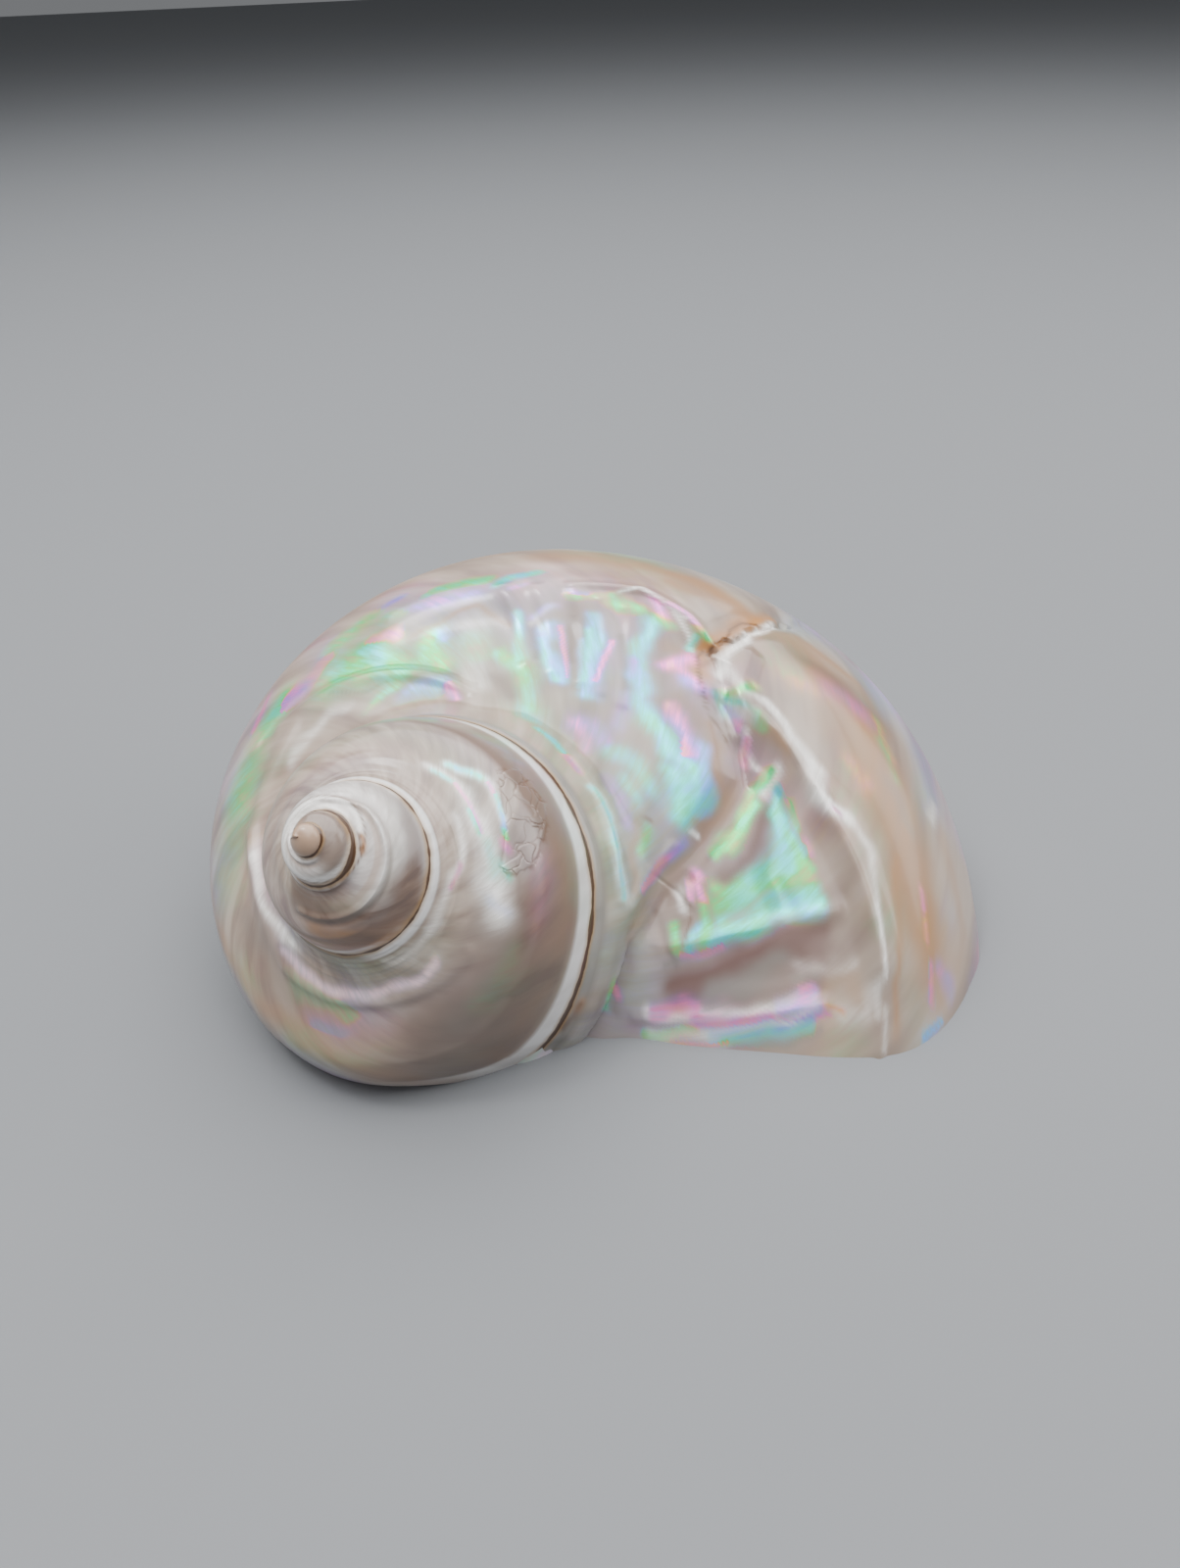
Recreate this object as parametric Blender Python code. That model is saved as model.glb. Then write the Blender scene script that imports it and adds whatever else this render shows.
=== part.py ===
"""A polished turban shell, lying on its mouth, grown as one piece.

The shell is a whorl section swept along a spiral that widens and drops by the same share on each
turn. Lengths are in metres, angles in radians, +Z is up and the surface that it lies on is z = 0.
The turn angle is 0 on the right of the shell as its tip is looked at, and grows clockwise, so the
young shell has large negative angles. A place across a whorl is its share of the section, from 0 at
the suture above it to 1 at the axis below.
"""

import math

import bmesh
import bpy
import numpy as np

# Growth: the suture line is at this radius at turn angle 0, and widens by exp(WIDENING) a radian.
SUTURE_RADIUS = 0.0268
WIDENING = 0.1412
SUTURE_DROP = 1.323
TURN = 2 * math.pi

# Where the shell lies: the tip of the growth cone, and the directions of the axis and of angle 0.
TIP = (-0.0376, -0.0408, 0.0505)
AXIS_TILT = math.radians(45.2)
AXIS_HEADING = math.radians(-114.75)
START_HEADING = math.radians(-13.7)

# One whorl section, full grown, as (out, down) steps from the suture in suture radii: the ramp, the
# shoulder, the rounded side, the base and the hollow at the axis. The next suture meets it halfway.
SECTION = (
    (0.0, 0.0), (0.234, 0.363), (0.555, 0.513), (0.9, 0.64), (1.25, 0.745), (1.48, 0.83),
    (1.64, 0.93), (1.78, 1.1), (1.91, 1.4), (1.98, 1.72), (1.85, 2.18), (1.4, 2.53),
    (0.75, 2.657), (0.0, 2.48), (-0.65, 2.03), (-1.0, 1.9),
)
SECTION_LENGTH = 7.7
NEXT_SUTURE = 0.5

# The share of the full section that each age has. The last turn swells, most of all at the healed
# break, and has a flatter side before it: (turn angle, half span, share) of each.
YOUNG_SHARE = 0.658
SWELL_START, SWELL_RATE, SWELL_EASE = -4.34, 0.0709, 0.35
BREAK_SWELL = (-0.45, 0.5, 0.0485)
FLAT_SIDE = (-3.3, 0.8, -0.103)

# Where the last suture sinks to the mouth, and where the whorl above is no longer covered by it.
SINK_START, SINK_SPAN, SINK_DEPTH = 0.35, 0.9, 0.21
COVERED_UNTIL, COVERED_EASE = -4.45, 0.75

# The mesh: turn angles of its ends, steps a turn, the shares of its rows, and the dome at the tip.
FIRST_ANGLE = -22.0
LAST_ANGLE = 1.2
STEPS = 52
WHORL_ROWS = (
    0.0, 0.02, 0.05, 0.085, 0.12, 0.15, 0.18, 0.21, 0.235, 0.26, 0.285, 0.31, 0.34, 0.38, 0.435, 0.5,
)
BASE_ROWS = (0.555, 0.61, 0.665, 0.72, 0.775, 0.83, 0.885, 0.94, 1.0)
DOME_RISE = 0.0015
DOME_RINGS = 3
CORE_SHARE = 0.97

# The hollow inside a whorl, as steps from the suture in suture radii, and the angles it runs over.
HOLLOW = (
    (0.12, 0.62), (0.62, 0.75), (1.15, 0.92), (1.52, 1.2), (1.68, 1.65), (1.5, 2.13), (1.0, 2.38),
    (0.35, 2.36), (-0.2, 2.08), (-0.58, 1.6), (-0.68, 1.1), (-0.55, 0.68), (-0.22, 0.46),
)
HOLLOW_MIDDLE = (0.5, 1.4)
HOLLOW_START = -5.2
HOLLOW_TAPER = 1.5
HOLLOW_END = 3.0
HOLLOW_SIDES = 22
HOLLOW_LEAST = 0.055

# The thick callus beside the mouth, where the last whorl meets the one before it: an uneven lump,
# with a height for each wave of its outline as (waves a turn, share of the radius, phase).
CALLUS_AT = (-0.0245, -0.0142, 0.002)
CALLUS_HALF = (0.0245, 0.0235, 0.029)
CALLUS_TURN = math.radians(-38.0)
CALLUS_WAVES = ((2, 0.06, 0.6), (3, 0.045, 2.1), (5, 0.02, 4.0))
CALLUS_SIDES, CALLUS_RINGS = 30, 16

# Relief as lines of (turn angle, share) on the surface, with heights and half widths in metres.
CREST = ((-14.0, 0.16), (-3.2, 0.15), (-2.3, 0.2), (-1.9, 0.16), (-1.5, 0.11), (-1.25, 0.075))
CREST_HEIGHT, CREST_WIDTH = 0.0006, 0.0028
CREST_START, CREST_EASE, CREST_GROWTH = -11.5, 3.0, 0.7
SHOULDER = ((-1.75, 0.25), (-1.2, 0.262), (-0.95, 0.298), (-0.72, 0.276))
SHOULDER_HEIGHT, SHOULDER_WIDTH = 0.0013, 0.006
KEEL = ((-0.56, 0.238), (-0.25, 0.251), (0.0, 0.278), (0.29, 0.302), (0.8, 0.32))
KEEL_HEIGHT, KEEL_WIDTH = 0.0019, 0.0042
FURROW = (
    (-0.69, 0.45), (-0.69, 0.26), (-0.55, 0.222), (-0.28, 0.19), (-0.18, 0.158), (0.066, 0.083),
    (0.335, 0.05), (0.9, 0.036),
)
FURROW_DEPTH, FURROW_WIDTH = 0.0014, 0.0028
FURROW_START, FURROW_EASE = -3.0, 0.5
SCAR_STEP, SCAR_EASE, SCAR_FADE = 0.0009, 0.003, 0.012
SEAM_EASE = 0.012
NORMAL_STEP = 1e-3

# The block below the table, which grinds the mouth flat.
BLOCK_SIDE, BLOCK_DEPTH = 1.0, 0.2


def direction(heading, tilt):
    """Unit vector at a heading about Z and a tilt above the horizontal."""
    flat = math.cos(tilt)
    return np.array([flat * math.cos(heading), flat * math.sin(heading), math.sin(tilt)])


def axis_frame():
    """The axis towards the tip, the outward direction of angle 0, and the one a quarter turn back."""
    axis = direction(AXIS_HEADING, AXIS_TILT)
    start = direction(START_HEADING, 0.0)
    start[2] = -(start[:2] @ axis[:2]) / axis[2]
    start /= np.linalg.norm(start)
    return axis, start, np.cross(axis, start)


AXIS, START, BACK = axis_frame()


def smooth(x):
    """0 below 0, 1 above 1, and an even ease between."""
    x = np.clip(x, 0.0, 1.0)
    return x * x * (3.0 - 2.0 * x)


def bump(x):
    """A bell of height 1 and half width about 1."""
    return np.exp(-x * x)


def catmull(points, count):
    """A smooth curve through the points, sampled evenly in the square roots of its chords."""
    p = np.asarray(points, float)
    p = np.vstack([2 * p[0] - p[1], p, 2 * p[-1] - p[-2]])
    knots = np.r_[0, np.cumsum(np.linalg.norm(np.diff(p, axis=0), axis=1) ** 0.5)]
    curve = []
    for x in np.linspace(knots[1], knots[-2], count):
        i = min(max(int(np.searchsorted(knots, x, side="right")) - 1, 1), len(p) - 3)
        t, q = knots[i - 1:i + 3], p[i - 1:i + 3]
        a = [((t[k + 1] - x) * q[k] + (x - t[k]) * q[k + 1]) / (t[k + 1] - t[k]) for k in range(3)]
        b = [((t[k + 2] - x) * a[k] + (x - t[k]) * a[k + 1]) / (t[k + 2] - t[k]) for k in range(2)]
        curve.append(((t[2] - x) * b[0] + (x - t[1]) * b[1]) / (t[2] - t[1]))
    return np.array(curve)


CURVE = catmull(SECTION, 401)
CURVE_SHARES = np.linspace(0.0, 1.0, len(CURVE))


def section_step(share):
    """(out, down) step from the suture of the full-grown section."""
    return np.stack([np.interp(share, CURVE_SHARES, CURVE[:, i]) for i in (0, 1)], -1)


def size(angle):
    """Suture radius at a turn angle."""
    return SUTURE_RADIUS * np.exp(WIDENING * angle)


def fullness(angle):
    """Share of the full-grown section at a turn angle."""
    swell = SWELL_RATE * SWELL_EASE * np.logaddexp(0.0, (angle - SWELL_START) / SWELL_EASE)
    local = sum(share * bump((angle - at) / span) for at, span, share in (BREAK_SWELL, FLAT_SIDE))
    return YOUNG_SHARE + swell + local


def suture(angle):
    """(out, down) of the suture line from the tip of the growth cone."""
    radius = size(angle)
    sink = SINK_DEPTH * smooth((angle - SINK_START) / SINK_SPAN)
    return np.stack([radius, radius * (SUTURE_DROP + sink)], -1)


def section_at(angle, share):
    """(out, down) of the surface. Young whorls end exactly on the suture of the next whorl."""
    scale = (size(angle) * fullness(angle))[..., None]
    at = suture(angle) + scale * section_step(share)
    gap = suture(angle + TURN) - suture(angle) - scale * section_step(NEXT_SUTURE)
    covered = smooth((COVERED_UNTIL - angle) / COVERED_EASE)[..., None]
    across = (share / NEXT_SUTURE)[..., None]
    reach = np.where(across < 1.0, across ** 3, np.clip(2.0 - across, 0.0, 1.0))
    return at + gap * covered * reach


def in_space(angle, out_down):
    """The point in space of an (out, down) pair at a turn angle."""
    radial = np.cos(angle)[..., None] * START - np.sin(angle)[..., None] * BACK
    return np.asarray(TIP) + out_down[..., :1] * radial - out_down[..., 1:] * AXIS


def smooth_surface(angle, share):
    """Points of the surface without relief."""
    return in_space(angle, section_at(angle, share))


def metric(angle, share):
    """Metres of surface for a radian of turn and for a whole section, at a place."""
    out = section_at(angle, share)[..., 0]
    return out, SECTION_LENGTH * size(angle) * fullness(angle)


def line_distance(angle, share, line):
    """Distance in metres from each place to a line of (angle, share)."""
    per_radian, per_share = metric(angle, share)
    nearest = np.full(angle.shape, np.inf)
    for (a0, s0), (a1, s1) in zip(line, line[1:]):
        run = np.stack([per_radian * (a1 - a0), per_share * (s1 - s0)], -1)
        here = np.stack([per_radian * (angle - a0), per_share * (share - s0)], -1)
        along = np.clip((here * run).sum(-1) / (run * run).sum(-1), 0.0, 1.0)
        nearest = np.minimum(nearest, np.linalg.norm(here - along[..., None] * run, axis=-1))
    return nearest


def raised(angle, share, line, height, width):
    """Height of a rounded ridge along a line."""
    return height * bump(line_distance(angle, share, line) / width)


def healed_step(angle, share):
    """How far the growth after the healed break lies below the shell before it."""
    break_angles, break_shares = np.array(FURROW[::-1]).T
    past = (angle - np.interp(share, break_shares, break_angles)) * metric(angle, share)[0]
    fade = np.exp(-line_distance(angle, share, FURROW) / SCAR_FADE)
    return SCAR_STEP * smooth(past / SCAR_EASE) * fade


def relief(angle, share):
    """Height of the surface relief in metres, outwards."""
    grown = np.clip(size(angle) / SUTURE_RADIUS, 0.0, 1.0) ** CREST_GROWTH
    crest_height = CREST_HEIGHT * grown * smooth((angle - CREST_START) / CREST_EASE)
    high = raised(angle, share, CREST, crest_height, CREST_WIDTH * grown)
    high += raised(angle, share, SHOULDER, SHOULDER_HEIGHT, SHOULDER_WIDTH)
    high += raised(angle, share, KEEL, KEEL_HEIGHT, KEEL_WIDTH)
    low = raised(angle, share, FURROW, FURROW_DEPTH, FURROW_WIDTH) + healed_step(angle, share)
    return high - low * smooth((angle - FURROW_START) / FURROW_EASE)


def surface(angle, share):
    """Points of the surface with its relief, set along the outward normal."""
    angle, share = np.broadcast_arrays(np.asarray(angle, float), np.asarray(share, float))
    inner = np.clip(share, NORMAL_STEP, 1.0 - NORMAL_STEP)
    along = smooth_surface(angle + NORMAL_STEP, inner) - smooth_surface(angle - NORMAL_STEP, inner)
    across = smooth_surface(angle, inner + NORMAL_STEP) - smooth_surface(angle, inner - NORMAL_STEP)
    normal = np.cross(along, across)
    normal /= np.linalg.norm(normal, axis=-1)[..., None]
    from_seam = np.minimum(share, abs(share - NEXT_SUTURE))
    height = relief(angle, share) * smooth(from_seam / SEAM_EASE)
    return smooth_surface(angle, share) + normal * height[..., None]


def build_outside():
    """The closed outside: whorls that share their sutures, a base, a tip and a flat end."""
    last = int(round((LAST_ANGLE - FIRST_ANGLE) / TURN * STEPS))
    angles = FIRST_ANGLE + TURN / STEPS * np.arange(last + 1)
    rows = WHORL_ROWS + BASE_ROWS
    seam = len(WHORL_ROWS) - 1
    points = surface(angles[:, None], np.array(rows)[None, :])
    mesh = bmesh.new()
    verts = {}

    def vert(column, row):
        if row == seam and column + STEPS <= last:
            column, row = column + STEPS, 0
        if (column, row) not in verts:
            verts[column, row] = mesh.verts.new(points[column, row])
        return verts[column, row]

    def quad(column, row):
        corners = ((column, row), (column, row + 1), (column + 1, row + 1), (column + 1, row))
        mesh.faces.new([vert(*corner) for corner in corners])

    for column in range(last):
        for row in range(seam):
            quad(column, row)
    first_base = last - STEPS
    for column in range(first_base, last):
        for row in range(seam, len(rows) - 1):
            quad(column, row)
    close_tip(mesh, [vert(i, 0) for i in range(STEPS)] + [vert(0, i) for i in range(seam, 0, -1)])
    close_base(mesh, vert, first_base, last, seam, len(rows) - 1, angles)
    bmesh.ops.recalc_face_normals(mesh, faces=mesh.faces[:])
    return mesh


def close_tip(mesh, loop):
    """A round dome over the first suture turn."""
    middle = np.mean([v.co for v in loop], axis=0)
    out = [np.array(v.co) - middle for v in loop]
    ring = loop
    for step in range(1, DOME_RINGS + 1):
        turned = math.pi / 2 * step / (DOME_RINGS + 1)
        height = DOME_RISE * math.sin(turned) * AXIS
        after = [mesh.verts.new(middle + math.cos(turned) * step_out + height) for step_out in out]
        for i in range(len(loop)):
            mesh.faces.new((ring[i], ring[i - 1], after[i - 1], after[i]))
        ring = after
    top = mesh.verts.new(middle + DOME_RISE * AXIS)
    for i in range(len(loop)):
        mesh.faces.new((ring[i], ring[i - 1], top))


def close_base(mesh, vert, first, last, seam, end, angles):
    """Closes the hollow at the axis and the half plane where the growth ends, below the table."""
    drop = section_at(angles, np.ones(len(angles)))[:, 1]
    core = {}
    for column in range(first, last + 1):
        core[column] = mesh.verts.new(np.asarray(TIP) - CORE_SHARE * drop[column] * AXIS)
    for column in range(first, last):
        mesh.faces.new((vert(column, end), core[column], core[column + 1], vert(column + 1, end)))
    outer = [vert(last, row) for row in range(end + 1)]
    inner = [vert(first, row) for row in range(end, seam, -1)]
    mesh.faces.new(outer + [core[column] for column in range(last, first - 1, -1)] + inner)


def build_hollow():
    """The inside of the last whorl: an oval tube that narrows to a closed end."""
    count = int(round((HOLLOW_END - HOLLOW_START) / TURN * STEPS))
    mesh = bmesh.new()
    rings = []
    outline = catmull(HOLLOW + HOLLOW[:1], HOLLOW_SIDES + 1)[:-1]
    middle = np.array(HOLLOW_MIDDLE)
    for angle in np.linspace(HOLLOW_START, HOLLOW_END, count + 1):
        wide = max(math.sqrt(smooth((angle - HOLLOW_START) / HOLLOW_TAPER)), HOLLOW_LEAST)
        step = middle + wide * (outline - middle)
        turn = np.full(HOLLOW_SIDES, angle)
        ring = in_space(turn, suture(turn) + (size(turn) * fullness(turn))[:, None] * step)
        rings.append([mesh.verts.new(point) for point in ring])
    for ring, after in zip(rings, rings[1:]):
        for i in range(HOLLOW_SIDES):
            j = (i + 1) % HOLLOW_SIDES
            mesh.faces.new((ring[i], ring[j], after[j], after[i]))
    mesh.faces.new(rings[0])
    mesh.faces.new(rings[-1])
    bmesh.ops.recalc_face_normals(mesh, faces=mesh.faces[:])
    return mesh


def build_callus():
    """The uneven lump of the callus."""
    mesh = bmesh.new()
    bmesh.ops.create_uvsphere(
        mesh, u_segments=CALLUS_SIDES, v_segments=CALLUS_RINGS, radius=1.0)
    for v in mesh.verts:
        heading = math.atan2(v.co.y, v.co.x)
        wave = sum(share * math.sin(waves * heading + at) for waves, share, at in CALLUS_WAVES)
        x, y, z = np.array(v.co) * CALLUS_HALF * (1.0 + wave, 1.0 + wave, 1.0)
        turn, lean = math.cos(CALLUS_TURN), math.sin(CALLUS_TURN)
        v.co = np.array((turn * x - lean * y, lean * x + turn * y, z)) + CALLUS_AT
    return mesh


def build_block():
    """The block below the table."""
    mesh = bmesh.new()
    bmesh.ops.create_cube(mesh, size=1.0)
    for v in mesh.verts:
        v.co = np.array(v.co) * (BLOCK_SIDE, BLOCK_SIDE, BLOCK_DEPTH) - (0.0, 0.0, BLOCK_DEPTH / 2)
    return mesh


def add_object(name, mesh, collection):
    """Makes a mesh object from a bmesh and puts it in a collection."""
    data = bpy.data.meshes.new(name)
    mesh.to_mesh(data)
    mesh.free()
    made = bpy.data.objects.new(name, data)
    collection.objects.link(made)
    return made


def add_collection(name):
    """A new collection in the scene."""
    made = bpy.data.collections.new(name)
    bpy.context.scene.collection.children.link(made)
    return made


def pearl():
    """Polished mother-of-pearl."""
    material = bpy.data.materials.new("polished_mother_of_pearl")
    material.use_nodes = True
    shader = material.node_tree.nodes["Principled BSDF"]
    shader.inputs["Base Color"].default_value = (0.62, 0.55, 0.49, 1.0)
    shader.inputs["Roughness"].default_value = 0.22
    shader.inputs["Metallic"].default_value = 0.0
    return material


def combine(shell, mesh, operation, name, cutters):
    """Adds a hidden shape to the shell, or takes it away."""
    other = add_object(name, mesh, cutters)
    other.hide_render = True
    other.display_type = "WIRE"
    modifier = shell.modifiers.new(name, "BOOLEAN")
    modifier.operation = operation
    modifier.solver = "EXACT"
    modifier.object = other


def main():
    """Builds the shell: its callus joined, its last whorl hollowed and its mouth ground flat."""
    for old in list(bpy.data.objects):
        bpy.data.objects.remove(old, do_unlink=True)
    parts = add_collection("turban_shell")
    cutters = add_collection("cutters")
    shell = add_object("shell", build_outside(), parts)
    shell.data.materials.append(pearl())
    combine(shell, build_callus(), "UNION", "callus", cutters)
    combine(shell, build_hollow(), "DIFFERENCE", "mouth_hollow", cutters)
    combine(shell, build_block(), "DIFFERENCE", "below_table", cutters)


main()
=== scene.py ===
"""The looks of a polished turban shell, grown as one piece and lying on its mouth.

The shell is one mesh: a lattice of places (turn angle, share of the whorl section) that a Geometry
Nodes tree winds into the spiral, with the callus joined, the last whorl hollowed and the mouth ground
flat. Colours are marks on those places. Lengths are in metres, angles in radians, +Z is up.
"""

import logging
import math
from dataclasses import dataclass, field
from enum import Enum
from functools import cached_property, partial
from typing import Sequence

import bmesh
import bpy
import numpy as np
from mathutils import Matrix, Vector, noise


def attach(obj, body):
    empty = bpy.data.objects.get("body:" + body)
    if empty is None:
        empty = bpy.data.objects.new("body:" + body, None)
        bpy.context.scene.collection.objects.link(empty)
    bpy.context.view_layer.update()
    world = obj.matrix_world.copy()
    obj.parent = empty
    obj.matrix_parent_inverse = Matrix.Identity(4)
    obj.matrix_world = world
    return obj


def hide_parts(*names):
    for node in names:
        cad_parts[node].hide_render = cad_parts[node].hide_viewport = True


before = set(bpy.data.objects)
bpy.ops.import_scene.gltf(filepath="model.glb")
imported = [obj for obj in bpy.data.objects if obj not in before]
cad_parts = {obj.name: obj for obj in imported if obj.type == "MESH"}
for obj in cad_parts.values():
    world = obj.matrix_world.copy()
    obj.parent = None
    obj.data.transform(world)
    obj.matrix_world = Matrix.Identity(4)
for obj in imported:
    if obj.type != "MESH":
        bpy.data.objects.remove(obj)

LOG = logging.getLogger("turban_shell")
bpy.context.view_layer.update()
TURN = 2.0 * math.pi
MM = 1e-3
NOISE_SEED = 21  # fixes the vector noise, which otherwise starts from the clock
GIRTH = Vector((0.05, 0.18))  # metres for a radian of turn, and for a whole section, on the last whorl
INNER_PLACE = (-999.0, 0.25)  # the place of every face that isn't part of the grown outside
DOME_PLACE = (-30.0, 0.25)
NOISE_RANGE = (0.3, 0.7)  # what a noise texture mostly stays between

Place = tuple[float, float]  # turn angle, share of the section
Pixel = tuple[float, float]
Span = tuple[float, float]  # the start and the ease of a rise
Wave = tuple[float, float, float]  # height, rate, phase
Stops = tuple[tuple[float, str], ...]  # positions and colours of a ramp
Socket = bpy.types.NodeSocket
Tree = bpy.types.NodeTree
Material = bpy.types.Material
Mesh = bpy.types.Mesh
Object = bpy.types.Object


def smooth(x: np.ndarray) -> np.ndarray:
    """Eases from 0 below 0 to 1 above 1."""
    x = np.clip(x, 0.0, 1.0)
    return x * x * (3.0 - 2.0 * x)


def rise(x: np.ndarray, start: float, ease: float) -> np.ndarray:
    """Eases from 0 at the start to 1 at start plus ease, which is lower where the ease is negative."""
    return smooth((x - start) / ease)


def bump(x: np.ndarray) -> np.ndarray:
    """A bell of height 1 and half width about 1."""
    return np.exp(-x * x)


def ripple(x: np.ndarray, waves: Sequence[Wave]) -> np.ndarray:
    """Adds up sine waves."""
    return sum(height * np.sin(x * rate + phase) for height, rate, phase in waves)


def evenly(x: np.ndarray, density: np.ndarray, count: int) -> np.ndarray:
    """Splits a stretch into parts that are shorter where the density is higher.

    Args:
        x: Samples of the stretch.
        density: The density at each sample.
        count: How many parts.

    Returns:
        The ends of the parts, one more than there are parts.
    """
    total = np.r_[0.0, np.cumsum(0.5 * (density[1:] + density[:-1]))]
    return np.interp(np.arange(count + 1) * total[-1] / count, total, x)


def linear(hex_colour: str) -> tuple[float, float, float, float]:
    """Turns an sRGB hex colour into Blender's linear colour.

    Args:
        hex_colour: Six hex digits, such as "d8cbbd".

    Returns:
        Red, green, blue and an alpha of 1.
    """
    parts = [int(hex_colour[i:i + 2], 16) / 255.0 for i in (0, 2, 4)]
    red, green, blue = (c / 12.92 if c <= 0.04045 else ((c + 0.055) / 1.055) ** 2.4 for c in parts)
    return red, green, blue, 1.0


def catmull(points: Sequence[Place], count: int) -> np.ndarray:
    """Samples a smooth curve through the points.

    Args:
        points: The points it passes through.
        count: How many samples, evenly in the square roots of the chords.

    Returns:
        An array of count points.
    """
    p = np.asarray(points, float)
    p = np.vstack([2 * p[0] - p[1], p, 2 * p[-1] - p[-2]])
    knots = np.r_[0, np.cumsum(np.linalg.norm(np.diff(p, axis=0), axis=1) ** 0.5)]
    curve = []
    for x in np.linspace(knots[1], knots[-2], count):
        i = min(max(int(np.searchsorted(knots, x, side="right")) - 1, 1), len(p) - 3)
        t, q = knots[i - 1:i + 3], p[i - 1:i + 3]
        a = [((t[k + 1] - x) * q[k] + (x - t[k]) * q[k + 1]) / (t[k + 1] - t[k]) for k in range(3)]
        b = [((t[k + 2] - x) * a[k] + (x - t[k]) * a[k + 1]) / (t[k + 2] - t[k]) for k in range(2)]
        curve.append(((t[2] - x) * b[0] + (x - t[1]) * b[1]) / (t[2] - t[1]))
    return np.array(curve)


def grid_normals(points: np.ndarray) -> np.ndarray:
    """The outward normals of a grid of points, longer where the grid is wider."""
    return np.cross(np.gradient(points, axis=0), np.gradient(points, axis=1))


def add_object(name: str, data: bpy.types.ID) -> Object:
    """Adds an object to the scene."""
    added = bpy.data.objects.new(name, data)
    bpy.context.scene.collection.objects.link(added)
    return added


def give_materials(mesh: Mesh, materials: Sequence[Material]) -> None:
    """Gives a mesh these materials and no others."""
    mesh.materials.clear()
    for material in materials:
        mesh.materials.append(material)


def face_outwards(mesh: Mesh) -> None:
    """Turns the faces of a closed mesh outwards."""
    work = bmesh.new()
    work.from_mesh(mesh)
    bmesh.ops.recalc_face_normals(work, faces=work.faces[:])
    work.to_mesh(mesh)
    work.free()


def bake_modifiers(piece: Object) -> None:
    """Replaces an object's mesh with its evaluated one and removes its modifiers."""
    graph = bpy.context.evaluated_depsgraph_get()
    graph.update()
    made = bpy.data.meshes.new_from_object(
        piece.evaluated_get(graph), preserve_all_data_layers=True, depsgraph=graph)
    piece.modifiers.clear()
    old, piece.data = piece.data, made
    bpy.data.meshes.remove(old)


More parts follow.
